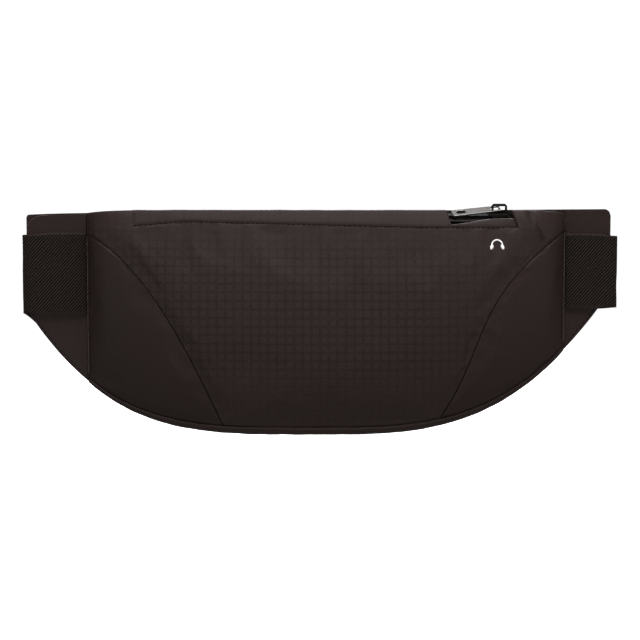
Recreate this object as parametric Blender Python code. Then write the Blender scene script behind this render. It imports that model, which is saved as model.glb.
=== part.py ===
"""Waist pouch on a wide elastic belt, folded flat, with a side-release buckle behind.

Metres, +Z up. The pouch faces -Y and +X is to the viewer's right. The origin lies on the
rear face of the back pad, the face that rests on the wearer's waist, at the belt's height.
"""

import math

import bmesh
import bpy
import numpy as np
from mathutils import Vector

MM = 0.001

# Clearances
GAP = 0.3 * MM  # between two pieces that touch
SEAM_GAP = 0.5 * MM  # between two panels sewn edge to edge

# Cloth layers, from the wearer forwards
PAD = 3.0 * MM
CLOTH = 1.2 * MM
STRAP = 1.6 * MM

# Outline of the pouch, seen from the front
TOP = 37.0 * MM
DROP = 96.0 * MM
SEAM_LEFT = -139.0 * MM
SEAM_RIGHT = 146.0 * MM
HEM_RISE = 33.0 * MM  # the hem has risen this far at the two reaches below
HEM_REACH_LEFT = 141.7 * MM
HEM_REACH_RIGHT = 127.8 * MM
HEM_POWER_LEFT = 3.75
HEM_POWER_RIGHT = 3.08
TIP_LEFT = -175.4 * MM
TIP_RIGHT = 173.6 * MM
WING_TOP_LEFT = 35.8 * MM
WING_TOP_RIGHT = 38.2 * MM
WING_CORNER = 4.0 * MM
FACING_CORNER = 9.0 * MM

# Depth of the pouch in front of its back panel
HEM_DEPTH = 18.0 * MM
BELLY = 11.0 * MM  # how far the front swells beyond its hem and its zip
ZIP_DEPTH = 18.5 * MM
CREST_DEPTH = 14.5 * MM
SIDE_FULLNESS = 3.0  # how far out the belly stays full
TOP_FULLNESS = 16.0
ZIP_SEAM = 29.5 * MM
GUSSET = 5.2 * MM
GUSSET_END = 2.6 * MM

# Curved seams between the front panel and the side panels
CURVE_TOP = 23.5 * MM
CURVE_FOOT_LEFT = -57.0 * MM
CURVE_FOOT_RIGHT = 72.0 * MM
CURVE_PULL_LEFT = ((-106.0 * MM, 2.0 * MM), (-81.0 * MM, -48.0 * MM))
CURVE_PULL_RIGHT = ((112.0 * MM, 2.0 * MM), (93.0 * MM, -48.0 * MM))

# Back pad
PAD_INSET = 11.0 * MM
PAD_EDGE = 1.0 * MM

# Small sewn parts
BINDING_WIDTH = 4.0 * MM
TAB_LEDGE = 2.8 * MM  # depth of the folded crest over the ends of the zip

# Zip: a flat chain, tilted towards the front, in the trench between the lip and the back
ZIP_LEFT = -110.0 * MM
ZIP_RIGHT = 117.0 * MM
ZIP_BACK = 11.5 * MM  # from the pad's rear face to the chain's middle line
ZIP_HEIGHT = 33.2 * MM
ZIP_TILT = math.radians(15.0)
TAPE = 0.8 * MM
TAPE_FRONT = 8.2 * MM
TAPE_REAR = 6.6 * MM
TAPE_SLIT = 0.6 * MM
TOOTH_PITCH = 2.6 * MM
TOOTH_HEIGHT = 1.6 * MM
TOOTH_REACH = 0.75 * MM  # past the middle line
CHAIN_HALF = 2.6 * MM
CHAIN_ROOT = 1.3 * MM
CHAIN_START = -86.6 * MM  # the puller's tip stays in the trench when the slider is here
STOP_LENGTH = 2.4 * MM
LIP_DIP_START = 74.0 * MM
LIP_DIP_WIDTH = 3.0 * MM
LIP_DIP_HEIGHT = 1.8 * MM  # what is left of the lip where the slider is parked

# Slider and puller
SLIDER_X = 106.0 * MM
SLIDER_HALF = 6.5 * MM
SLIDER_SIDE = 4.3 * MM
SLIDER_PLATE = 1.1 * MM
CROWN_HALF = 4.6 * MM
CROWN_SIDE = 1.1 * MM
CROWN_BAR = 1.2 * MM
CROWN_RISE = 4.6 * MM
PULLER_LENGTH = 28.5 * MM
PULLER_HALF = 3.2 * MM
PULLER_THICK = 1.0 * MM
PULLER_CORNER = 1.2 * MM
PULLER_DIP = math.radians(4.5)
PULLER_ROLL = math.radians(18.0)  # it hangs loose in the crown, leaning to the front
PULLER_YAW = math.radians(8.0)
METAL_ROUND = 0.2 * MM

# Belt
FOLD_LEFT = -177.9 * MM
FOLD_RIGHT = 177.7 * MM
FOLD_RADIUS = 4.2 * MM
LEFT_HALF = 24.3 * MM
RIGHT_HALF = 22.2 * MM
LEFT_HEIGHT = -0.3 * MM
RIGHT_HEIGHT = 1.3 * MM
BELT_WASTE = 0.9 * MM  # the elastic is drawn in by this much past the fold
REAR_REACH = 12.1 * MM  # from the pad's rear face back to the buckle's middle
REAR_HEIGHT = -4.0 * MM
SLANT_END = 112.0 * MM
SLANT_EASE = 6.0 * MM  # the slant has levelled out after this much more
TAIL_END = -100.0 * MM
SEWN_END = 72.0 * MM

# Buckle, measured from its middle along the belt
BUCKLE_HALF = 27.5 * MM
BUCKLE_THICK = 6.0 * MM
SHELL = 2.5 * MM
MOUTH = -3.6 * MM
CAVITY_END = 33.0 * MM
SOCKET_END = 36.0 * MM
BAR = 3.5 * MM
BAR_THICK = 0.9 * MM
BAR_SLOT = 6.0 * MM
BAR_PLAY = 0.6 * MM
RAIL_THICK = 2.6 * MM
FLANGE = 4.0 * MM
WINDOW_START = 14.0 * MM
WINDOW_END = 27.0 * MM
TONGUE_HALF = 5.0 * MM
TONGUE_END = 30.0 * MM
SOCKET_WAIST = 1.2 * MM  # how far the socket's sides draw in at the windows
MOUTH_STEP = 0.1 * MM
ARM_THICK = 2.5 * MM
ARM_ROOT = 14.2 * MM
ARM_STEM = 4.4 * MM
ARM_TIP = 2.0 * MM
PLASTIC_ROUND = 1.4 * MM
SMALL_ROUND = 0.5 * MM
KEEPER_X = -60.0 * MM
KEEPER_LENGTH = 10.0 * MM
KEEPER_WALL = 1.4 * MM

# Places that follow from the sizes above
BACK_REAR = -(PAD + GAP)
BACK_FRONT = BACK_REAR - CLOTH
FACING_REAR = BACK_FRONT - GAP
FACING_FRONT = FACING_REAR - CLOTH
STRAP_FRONT = FACING_FRONT - GAP - STRAP / 2
EDGE = BACK_FRONT - (STRAP_FRONT - STRAP / 2) + GAP
POUCH_MIDDLE = (SEAM_LEFT + SEAM_RIGHT) / 2
POUCH_HALF = (SEAM_RIGHT - SEAM_LEFT) / 2
CHAIN_END = SLIDER_X - GAP
TURN = BAR_THICK * math.sqrt(2) + GAP + STRAP / 2  # clears the square edges of a bar
INNER_RUN = REAR_REACH - TURN
OUTER_RUN = REAR_REACH + TURN
SEWN_RUN = INNER_RUN + STRAP + GAP
PLUG_STRAP = BUCKLE_HALF - BAR - BAR_PLAY  # half width of the elastic where it goes through the buckle
SOCKET_STRAP = PLUG_STRAP - (LEFT_HALF - RIGHT_HALF)
PIVOT_RISE = TOOTH_HEIGHT + GAP + SLIDER_PLATE + CROWN_RISE - CROWN_BAR - PULLER_THICK


# Helpers


def blend(a, b, t):
    return a + (b - a) * t


def smoothstep(t):
    t = min(max(t, 0.0), 1.0)
    return t * t * (3 - 2 * t)


def finish(name, shape, material, smooth=35.0):
    """Make a named object from a bmesh, with its faces out and its round faces smooth."""
    mesh = bpy.data.meshes.new(name)
    shape.to_mesh(mesh)
    shape.free()
    mesh.shade_smooth()
    mesh.set_sharp_from_angle(angle=math.radians(smooth))
    mesh.materials.append(material)
    piece = bpy.data.objects.new(name, mesh)
    bpy.context.collection.objects.link(piece)
    return piece


def loft(name, rings, material):
    """Skin a row of closed rings, each with as many points, and cap both ends."""
    shape = bmesh.new()
    loops = [[shape.verts.new(point) for point in ring] for ring in rings]
    count = len(loops[0])
    for one, two in zip(loops, loops[1:]):
        for i in range(count):
            j = (i + 1) % count
            shape.faces.new((one[i], one[j], two[j], two[i]))
    shape.faces.new(loops[0])
    shape.faces.new(loops[-1])
    bmesh.ops.recalc_face_normals(shape, faces=shape.faces)
    return finish(name, shape, material)


def prism(name, outline, place, low, high, material):
    """Extrude a flat outline from low to high; place turns (p, q, height) into a point."""
    rings = [[place(p, q, height) for p, q in outline] for height in (low, high)]
    return loft(name, rings, material)


def sheet(name, rows, material):
    """A cloth panel: a grid of points on its outer face, given its thickness inwards."""
    shape = bmesh.new()
    grid = [[shape.verts.new(point) for point in row] for row in rows]
    for one, two in zip(grid, grid[1:]):
        for i in range(len(one) - 1):
            shape.faces.new((one[i], one[i + 1], two[i + 1], two[i]))
    shape.normal_update()
    if sum(face.normal.y for face in shape.faces) > 0:
        bmesh.ops.reverse_faces(shape, faces=shape.faces)
    panel = finish(name, shape, material)
    wall = panel.modifiers.new("cloth", "SOLIDIFY")
    wall.thickness = CLOTH
    wall.offset = -1.0
    wall.use_quality_normals = True
    return panel


def round_edges(piece, width, segments=2):
    bevel = piece.modifiers.new("round", "BEVEL")
    bevel.width = width
    bevel.segments = segments
    bevel.limit_method = "ANGLE"
    bevel.angle_limit = math.radians(40)


def combine(piece, other, operation):
    """Cut or join another shape, which stays as a hidden guide."""
    other.hide_render = True
    other.display_type = "WIRE"
    change = piece.modifiers.new(operation.lower(), "BOOLEAN")
    change.operation = operation
    change.object = other


def set_origin(piece, point):
    """Move the object's origin to a point, such as one on its joint's axis."""
    offset = Vector(point)
    for vertex in piece.data.vertices:
        vertex.co -= offset
    piece.location = offset


def material(name, colour, roughness, metallic=0.0):
    made = bpy.data.materials.new(name)
    made.use_nodes = True
    shader = made.node_tree.nodes["Principled BSDF"]
    shader.inputs["Base Color"].default_value = (*colour, 1.0)
    shader.inputs["Roughness"].default_value = roughness
    shader.inputs["Metallic"].default_value = metallic
    made.diffuse_color = (*colour, 1.0)
    return made


def box_outline(left, right, low, high):
    return [(left, low), (right, low), (right, high), (left, high)]


def arc(centre_x, centre_z, radius, start, end, steps=6):
    """Points on a round corner, with angles in degrees."""
    angles = [math.radians(blend(start, end, i / steps)) for i in range(steps + 1)]
    return [(centre_x + radius * math.cos(a), centre_z + radius * math.sin(a)) for a in angles]


# Shape of the pouch


def hem(x):
    """Height of the pouch's lower edge."""
    if x < 0:
        return -DROP + HEM_RISE * (-x / HEM_REACH_LEFT) ** HEM_POWER_LEFT
    return -DROP + HEM_RISE * (x / HEM_REACH_RIGHT) ** HEM_POWER_RIGHT


def fullness(x, power):
    """1 in the middle of the pouch and 0 at its two side seams."""
    off = min(abs(x - POUCH_MIDDLE) / POUCH_HALF, 1.0)
    return (1 - off**power) ** 0.8


def hem_seam(x):
    """Height of the seam between the front panels and the bottom gusset."""
    return hem(x) + blend(GUSSET_END, GUSSET, fullness(x, SIDE_FULLNESS))


def front_y(x, z):
    """The pouch's outer face between its hem seam and its zip seam."""
    low = hem_seam(x)
    h = min(max((z - low) / (ZIP_SEAM - low), 0.0), 1.0)
    side = fullness(x, SIDE_FULLNESS)
    at_hem = (HEM_DEPTH - EDGE) * side
    at_zip = (ZIP_DEPTH - EDGE) * fullness(x, TOP_FULLNESS)
    swell = BELLY * side * (4 * h * (1 - h)) ** 0.8
    return BACK_FRONT - EDGE - blend(at_hem, at_zip, h) - swell


def crest_y(x):
    return BACK_FRONT - EDGE - (CREST_DEPTH - EDGE) * fullness(x, TOP_FULLNESS)


def curved_seam(side, t):
    """A point of the curved seam, from the side seam down to the hem."""
    top_x = SEAM_LEFT if side < 0 else SEAM_RIGHT
    foot_x = CURVE_FOOT_LEFT if side < 0 else CURVE_FOOT_RIGHT
    pull = CURVE_PULL_LEFT if side < 0 else CURVE_PULL_RIGHT
    points = [(top_x, CURVE_TOP), *pull, (foot_x, hem_seam(foot_x) + SEAM_GAP)]
    weights = ((1 - t) ** 3, 3 * t * (1 - t) ** 2, 3 * t * t * (1 - t), t**3)
    return sum(np.array(p) * w for p, w in zip(points, weights))


def patch(left, right, top, bottom, rows, columns):
    """Points of a panel between four edges, each a function of 0 to 1, on the pouch's front."""
    grid = []
    for i in range(rows + 1):
        t = i / rows
        row = []
        for j in range(columns + 1):
            s = j / columns
            across = blend(left(t), right(t), s)
            down = blend(top(s), bottom(s), t)
            corner = blend(blend(left(0), right(0), s), blend(left(1), right(1), s), t)
            x, z = across + down - corner
            row.append((x, front_y(x, z), z))
        grid.append(row)
    return grid


# Sewn pieces


def make_front_panel(cloth):
    straight = 0.06  # share of the panel's side that runs along the vertical seam

    def edge(side):
        seam_x = SEAM_LEFT if side < 0 else SEAM_RIGHT

        def at(t):
            if t < straight:
                point = np.array((seam_x, blend(ZIP_SEAM - SEAM_GAP, CURVE_TOP, t / straight)))
            else:
                point = curved_seam(side, (t - straight) / (1 - straight))
            return point - np.array((side * SEAM_GAP, 0.0))

        return at

    left = edge(-1)
    right = edge(1)

    def bottom(s):
        x = blend(left(1)[0], right(1)[0], s)
        return np.array((x, hem_seam(x) + SEAM_GAP))

    def top(s):
        return blend(left(0), right(0), s)

    return sheet("front_panel", patch(left, right, top, bottom, 18, 26), cloth)


def make_side_panel(name, side, cloth):
    seam_x = SEAM_LEFT if side < 0 else SEAM_RIGHT
    start = 0.02  # the panel's point is cut blunt

    def outer(t):
        high = curved_seam(side, start)[1]
        return np.array((seam_x, blend(high, hem_seam(seam_x) + SEAM_GAP, t)))

    def inner(t):
        return curved_seam(side, blend(start, 1.0, t)) + np.array((side * SEAM_GAP / 2, 0.0))

    def bottom(s):
        x = blend(outer(1)[0], inner(1)[0], s)
        return np.array((x, hem_seam(x) + SEAM_GAP))

    def top(s):
        return blend(outer(0), inner(0), s)

    return sheet(name, patch(outer, inner, top, bottom, 14, 9), cloth)


def make_bottom_gusset(cloth):
    """Half-round trough that closes the pouch below, from the front seam to the back panel."""
    columns = 40
    steps = 6
    rings = []
    for i in range(columns + 1):
        x = blend(SEAM_LEFT + GAP, SEAM_RIGHT - GAP, i / columns)
        front = front_y(x, hem_seam(x))
        rear = BACK_FRONT - GAP
        middle = (front + rear) / 2
        deep = hem_seam(x) - hem(x)
        ring = []
        for inset, order in ((0.0, 1), (CLOTH, -1)):
            turn = [math.pi * k / steps for k in range(steps + 1)][::order]
            for a in turn:
                y = middle - (middle - front - inset) * math.cos(a)
                ring.append((x, y, hem_seam(x) - (deep - inset) * math.sin(a)))
        rings.append(ring)
    return loft("bottom_gusset", rings, cloth)


def back_outline(left, right, inset, corner):
    """Outline of the back, or of one end of it, with round upper corners at the wing tips."""
    steps = 48
    outline = []
    for i in range(steps + 1):
        x = blend(left, right, i / steps)
        outline.append((x, hem(x) + inset))
    high_left = blend(WING_TOP_LEFT, WING_TOP_RIGHT, (left - TIP_LEFT) / (TIP_RIGHT - TIP_LEFT))
    high_right = blend(WING_TOP_LEFT, WING_TOP_RIGHT, (right - TIP_LEFT) / (TIP_RIGHT - TIP_LEFT))
    if right > SEAM_RIGHT:
        outline += arc(right - corner, high_right - inset - corner, corner, 0, 90)
    else:
        outline.append((right, high_right - inset))
    if left < SEAM_LEFT:
        outline += arc(left + corner, high_left - inset - corner, corner, 90, 180)
    else:
        outline.append((left, high_left - inset))
    return outline


def upright(x, z, y):
    return (x, y, z)


def make_back(cloth, mesh_cloth):
    outline = back_outline(TIP_LEFT, TIP_RIGHT, 0.0, WING_CORNER)
    prism("back_panel", outline, upright, BACK_FRONT, BACK_REAR, cloth)
    left = SEAM_LEFT + PAD_INSET
    right = SEAM_RIGHT - PAD_INSET
    pad_outline = back_outline(left, right, PAD_INSET, 0.0)
    pad = prism("back_pad", pad_outline, upright, -PAD, 0.0, mesh_cloth)
    round_edges(pad, PAD_EDGE)


def make_wing_facings(cloth):
    left = back_outline(TIP_LEFT + GAP, SEAM_LEFT - GAP, GAP, FACING_CORNER)
    prism("wing_facing_left", left, upright, FACING_FRONT, FACING_REAR, cloth)
    right = back_outline(SEAM_RIGHT + GAP, TIP_RIGHT - GAP, GAP, WING_CORNER)
    prism("wing_facing_right", right, upright, FACING_FRONT, FACING_REAR, cloth)


def make_seam_bindings(cloth):
    front = BACK_FRONT - EDGE + CLOTH + GAP
    for name, seam_x, inward in (("left", SEAM_LEFT, 1), ("right", SEAM_RIGHT, -1)):
        edges = sorted((seam_x + inward * GAP, seam_x + inward * BINDING_WIDTH))
        outline = box_outline(*edges, hem_seam(seam_x) + GAP, ZIP_SEAM - GAP)
        prism("seam_binding_" + name, outline, upright, front, BACK_FRONT - GAP, cloth)


# Zip


def lip_line(x, height):
    """Outer face of the zip lip and the end tabs, from the zip seam to the crest."""
    seam = front_y(x, ZIP_SEAM)
    return blend(seam, crest_y(x), (height - ZIP_SEAM) / (TOP - ZIP_SEAM))


def make_zip_lip(cloth):
    """Folded cloth edge in front of the zip, pushed down where the slider is parked."""
    columns = 60
    rings = []
    low = ZIP_SEAM + SEAM_GAP
    for i in range(columns + 1):
        x = blend(ZIP_LEFT + GAP, ZIP_RIGHT - GAP, i / columns)
        dip = smoothstep((x - LIP_DIP_START) / LIP_DIP_WIDTH)
        high = blend(TOP, low + LIP_DIP_HEIGHT, dip)
        heights = (low, (low + high) / 2, high)
        outer = [(x, lip_line(x, z), z) for z in heights]
        inner = [(x, lip_line(x, z) + CLOTH, z) for z in reversed(heights)]
        rings.append(outer + inner)
    return loft("zip_lip", rings, cloth)


def make_end_tab(name, seam_x, zip_x, cloth):
    """Cloth over one end of the zip: up the front to the crest, then down to the back panel."""
    columns = 8
    low = ZIP_SEAM + SEAM_GAP
    floor = ZIP_HEIGHT + CLOTH
    rings = []
    for i in range(columns + 1):
        x = blend(seam_x, zip_x, i / columns)
        crest = crest_y(x)
        rear = BACK_FRONT - GAP
        inside = min(crest + TAB_LEDGE, rear - GAP)
        section = [
            (lip_line(x, low), low),
            (crest, TOP),
            (crest + CLOTH / 2, TOP),
            (inside, floor),
            (rear, floor),
            (rear, floor - CLOTH),
            (inside, floor - CLOTH),
            (lip_line(x, low) + CLOTH, low),
        ]
        rings.append([(x, y, z) for y, z in section])
    return loft(name, rings, cloth)


def zip_point(x, across, rise):
    """A point of the zip: along it, across it towards the back, and out of its face."""
    y = -ZIP_BACK + across * math.cos(ZIP_TILT) - rise * math.sin(ZIP_TILT)
    z = ZIP_HEIGHT + across * math.sin(ZIP_TILT) + rise * math.cos(ZIP_TILT)
    return (x, y, z)


def make_zip_tape(name, side, width, cloth):
    """One tape; its inner edge turns away from the middle line under the slider's post."""
    spread = CHAIN_HALF - GAP
    outline = [
        (ZIP_LEFT + GAP, side * width),
        (ZIP_LEFT + GAP, side * TAPE_SLIT),
        (CHAIN_END - 2 * SEAM_GAP, side * TAPE_SLIT),
        (CHAIN_END + SLIDER_HALF / 4, side * spread),
        (ZIP_RIGHT - GAP, side * spread),
        (ZIP_RIGHT - GAP, side * width),
    ]
    return prism(name, outline, zip_point, -TAPE, 0.0, cloth)


def make_zip_chain(name, side, shift, nylon):
    """A comb of teeth that reach past the middle line between the teeth of the other row."""
    tooth = TOOTH_PITCH / 2 - GAP
    outline = [(CHAIN_START, side * CHAIN_HALF), (CHAIN_START, side * CHAIN_ROOT)]
    x = CHAIN_START + GAP + shift
    while x + tooth < CHAIN_END - GAP:
        reach = -side * TOOTH_REACH
        outline += [(x, side * CHAIN_ROOT), (x, reach), (x + tooth, reach), (x + tooth, side * CHAIN_ROOT)]
        x += TOOTH_PITCH
    outline += [(CHAIN_END, side * CHAIN_ROOT), (CHAIN_END, side * CHAIN_HALF)]
    return prism(name, outline, zip_point, GAP, GAP + TOOTH_HEIGHT, nylon)


def make_zip_stops(metal):
    high = GAP + TOOTH_HEIGHT
    left = CHAIN_START - GAP - STOP_LENGTH
    bottom_outline = box_outline(left, left + STOP_LENGTH, -CHAIN_HALF, CHAIN_HALF)
    bottom = prism("zip_bottom_stop", bottom_outline, zip_point, GAP, high, metal)
    round_edges(bottom, GAP)
    start = SLIDER_X + SLIDER_HALF + 2 * GAP
    for name, side in (("front", -1), ("rear", 1)):
        edges = sorted((side * CHAIN_HALF, side * (CHAIN_HALF + STOP_LENGTH)))
        outline = box_outline(start, start + STOP_LENGTH, *edges)
        stop = prism("zip_top_stop_" + name, outline, zip_point, GAP, high, metal)
        round_edges(stop, GAP)


def make_slider(metal):
    """Two plates round the chain, joined by the post that parts the teeth."""
    chain_top = GAP + TOOTH_HEIGHT
    upper = chain_top + GAP
    lower = -TAPE - GAP
    front = SLIDER_X - SLIDER_HALF
    back = SLIDER_X + SLIDER_HALF
    shoulder = SLIDER_HALF / 3

    def plate(side):
        return [
            (front, -side),
            (front + shoulder, -side - GAP),
            (back - shoulder, -side - GAP),
            (back, -side + 2 * GAP),
            (back, side - 2 * GAP),
            (back - shoulder, side + GAP),
            (front + shoulder, side + GAP),
            (front, side),
        ]

    body = prism("zip_slider", plate(SLIDER_SIDE), zip_point, upper, upper + SLIDER_PLATE, metal)
    round_edges(body, METAL_ROUND)
    base = prism("slider_base", plate(SLIDER_SIDE), zip_point, lower - SLIDER_PLATE, lower, metal)
    post_outline = [
        (SLIDER_X + GAP, 0.0),
        (SLIDER_X + SLIDER_HALF * 0.4, -CHAIN_ROOT),
        (SLIDER_X + SLIDER_HALF * 0.8, -CHAIN_ROOT * 0.7),
        (SLIDER_X + SLIDER_HALF * 0.8, CHAIN_ROOT * 0.7),
        (SLIDER_X + SLIDER_HALF * 0.4, CHAIN_ROOT),
    ]
    post = prism("slider_post", post_outline, zip_point, lower - GAP, upper + GAP, metal)
    pieces = [base, post]
    for side in (-1, 1):
        edges = sorted((side * (CHAIN_HALF + GAP), side * SLIDER_SIDE))
        outline = box_outline(front + shoulder, back - shoulder, *edges)
        flange = prism("slider_flange", outline, zip_point, GAP, upper + GAP, metal)
        pieces.append(flange)
    for piece in pieces:
        combine(body, piece, "UNION")
    set_origin(body, zip_point(SLIDER_X, 0.0, 0.0))
    crown_low = upper + SLIDER_PLATE + GAP
    crown_high = crown_low + CROWN_RISE
    outer = [
        (-CROWN_HALF, crown_low),
        (-CROWN_HALF, crown_high - CROWN_BAR),
        (-CROWN_HALF + CROWN_BAR, crown_high),
        (CROWN_HALF - CROWN_BAR, crown_high),
        (CROWN_HALF, crown_high - CROWN_BAR),
        (CROWN_HALF, crown_low),
    ]
    inner = [
        (CROWN_HALF - CROWN_BAR, crown_low),
        (CROWN_HALF - CROWN_BAR, crown_high - CROWN_BAR),
        (-CROWN_HALF + CROWN_BAR, crown_high - CROWN_BAR),
        (-CROWN_HALF + CROWN_BAR, crown_low),
    ]

    def crown_point(along, rise, across):
        return zip_point(SLIDER_X + along, across, rise)

    crown = prism("zip_slider_crown", outer + inner, crown_point, -CROWN_SIDE, CROWN_SIDE, metal)
    round_edges(crown, METAL_ROUND)
    set_origin(crown, zip_point(SLIDER_X, 0.0, 0.0))


def make_puller(metal):
    """Flat tab that hangs by an eye in the crown and lies along the zip."""
    eye_start = PULLER_THICK / 2
    eye_end = CROWN_HALF + 2 * GAP
    eye_half = CROWN_SIDE + 2 * GAP
    corner = PULLER_CORNER
    leg = CROWN_HALF - CROWN_BAR / 2  # the tab turns about the crown's near leg

    def puller_point(along, across, rise):
        aside = across * math.cos(PULLER_ROLL) - rise * math.sin(PULLER_ROLL)
        out = across * math.sin(PULLER_ROLL) + rise * math.cos(PULLER_ROLL)
        reach = leg + (along - leg) * math.cos(PULLER_YAW) + aside * math.sin(PULLER_YAW)
        shift = aside * math.cos(PULLER_YAW) - (along - leg) * math.sin(PULLER_YAW)
        x = SLIDER_X - reach * math.cos(PULLER_DIP) - out * math.sin(PULLER_DIP)
        n = PIVOT_RISE - reach * math.sin(PULLER_DIP) + out * math.cos(PULLER_DIP)
        return zip_point(x, shift, n)

    outline = [
        (-eye_start, -eye_half - PULLER_THICK),
        *arc(PULLER_LENGTH - corner, -PULLER_HALF + corner, corner, -90, 0, 4),
        *arc(PULLER_LENGTH - corner, PULLER_HALF - corner, corner, 0, 90, 4),
        (-eye_start, eye_half + PULLER_THICK),
    ]
    half = PULLER_THICK / 2
    tab = prism("zip_puller", outline, puller_point, -half, half, metal)
    eye = box_outline(eye_start, eye_end, -eye_half, eye_half)
    combine(tab, prism("puller_eye", eye, puller_point, -2 * half, 2 * half, metal), "DIFFERENCE")
    finger = box_outline(PULLER_LENGTH * 0.72, PULLER_LENGTH * 0.9, -PULLER_HALF / 2, PULLER_HALF / 2)
    combine(tab, prism("puller_slot", finger, puller_point, -2 * half, 2 * half, metal), "DIFFERENCE")
    round_edges(tab, METAL_ROUND)
    set_origin(tab, zip_point(SLIDER_X, 0.0, PIVOT_RISE))


# Belt


def smooth_path(points, steps):
    """A smooth curve through points of any size, with a few steps between each two of them."""
    knots = np.array(points, dtype=float)
    runs = np.diff(knots, axis=0)
    lengths = np.linalg.norm(runs, axis=1)
    slopes = runs / lengths[:, None]
    tangents = [slopes[0]]
    for i in range(1, len(runs)):
        before, after = lengths[i - 1], lengths[i]
        tangents.append((slopes[i - 1] * after + slopes[i] * before) / (before + after))
    tangents.append(slopes[-1])
    path = []
    for i, length in enumerate(lengths):
        for k in range(steps):
            t = k / steps
            start = blend(knots[i], knots[i + 1], t * t * (3 - 2 * t))
            leave = tangents[i] * (t - 2 * t * t + t**3)
            arrive = tangents[i + 1] * (t**3 - t * t)
            path.append(start + (leave + arrive) * length)
    path.append(knots[-1])
    return path


def ribbon(name, points, elastic):
    """A flat strap along points of (x, y, middle height, half width)."""
    path = smooth_path(points, 3)
    rings = []
    for i, here in enumerate(path):
        run = path[min(i + 1, len(path) - 1)][:2] - path[max(i - 1, 0)][:2]
        run /= np.linalg.norm(run)
        aside = np.array((-run[1], run[0])) * STRAP / 2
        x, y, middle, half = here
        ring = []
        for face in (1, -1):
            for z in (-face * half, face * half):
                ring.append((x + face * aside[0], y + face * aside[1], middle + z))
        rings.append(ring)
    return loft(name, rings, elastic)


def belt_points(side, seam_x, fold_x, height, half, rear_half):
    """The belt from its side seam round the wing tip to the straight run behind the pouch."""
    centre_x = fold_x - side * (STRAP / 2 + FOLD_RADIUS)
    centre_y = (FACING_FRONT + BACK_REAR) / 2
    drawn = half - BELT_WASTE
    lowered = blend(height, REAR_HEIGHT, 0.25)
    points = [
        (seam_x + side * GAP, STRAP_FRONT, height, half),
        (blend(seam_x, centre_x, 0.6), blend(STRAP_FRONT, centre_y - FOLD_RADIUS, 0.6), height, half),
    ]
    for degrees in (-90, -60, -30, 0, 30, 60, 90):
        a = math.radians(degrees)
        x = centre_x + side * FOLD_RADIUS * math.cos(a)
        z = blend(height, lowered, (degrees + 90) / 180)
        points.append((x, centre_y + FOLD_RADIUS * math.sin(a), z, drawn))
    start_y = centre_y + FOLD_RADIUS
    for share in (0.35, 0.7, 1.0):
        x = blend(centre_x, side * SLANT_END, share)
        y = blend(start_y, INNER_RUN, math.sin(share * math.pi / 2))
        z = blend(lowered, REAR_HEIGHT, smoothstep(share))
        points.append((x, y, z, blend(drawn, rear_half, share)))
    points.append((side * (SLANT_END - SLANT_EASE), INNER_RUN, REAR_HEIGHT, rear_half))
    return points


def turn_points(bar_x, side, half):
    """Round a buckle bar, from the run next to the wearer to the outer run."""
    points = []
    for degrees in (-90, -45, 0, 45, 90):
        a = math.radians(degrees)
        x = bar_x - side * TURN * math.cos(a)
        points.append((x, REAR_REACH + TURN * math.sin(a), REAR_HEIGHT, half))
    return points


def make_belt(elastic):
    half = PLUG_STRAP
    points = belt_points(-1, SEAM_LEFT, FOLD_LEFT, LEFT_HEIGHT, LEFT_HALF, half)
    points.append((-SLANT_END / 2, INNER_RUN, REAR_HEIGHT, half))
    points += turn_points(-FLANGE * 2 - BAR_SLOT - BAR_THICK, -1, half)
    end = -FLANGE * 2 - 2 * BAR_SLOT - 2 * BAR
    points.append((end, OUTER_RUN, REAR_HEIGHT, half))
    points.append((end - 2 * BAR_SLOT, SEWN_RUN, REAR_HEIGHT, half))
    points.append((blend(end, TAIL_END, 0.6), SEWN_RUN, REAR_HEIGHT, half))
    points.append((TAIL_END, SEWN_RUN, REAR_HEIGHT, half))
    ribbon("elastic_left", points, elastic)
    half = SOCKET_STRAP
    points = belt_points(1, SEAM_RIGHT, FOLD_RIGHT, RIGHT_HEIGHT, RIGHT_HALF, half)
    points.append((SLANT_END * 0.7, INNER_RUN, REAR_HEIGHT, half))
    points += turn_points(SOCKET_END + BAR_SLOT + BAR_THICK, 1, half)
    end = SOCKET_END + BAR_SLOT + 2 * BAR
    points.append((end, OUTER_RUN, REAR_HEIGHT, half))
    points.append((end + 2 * BAR_SLOT, SEWN_RUN, REAR_HEIGHT, half))
    points.append((SEWN_END, SEWN_RUN, REAR_HEIGHT, half))
    ribbon("elastic_right", points, elastic)


# Buckle


def buckle_point(x, across, rise):
    """Along the belt, across its width, and away from the wearer."""
    return (x, REAR_REACH + rise, REAR_HEIGHT + across)


def buckle_box(name, left, right, half, thick, plastic, low=None):
    outline = box_outline(left, right, -half if low is None else low, half)
    return prism(name, outline, buckle_point, -thick, thick, plastic)


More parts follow.
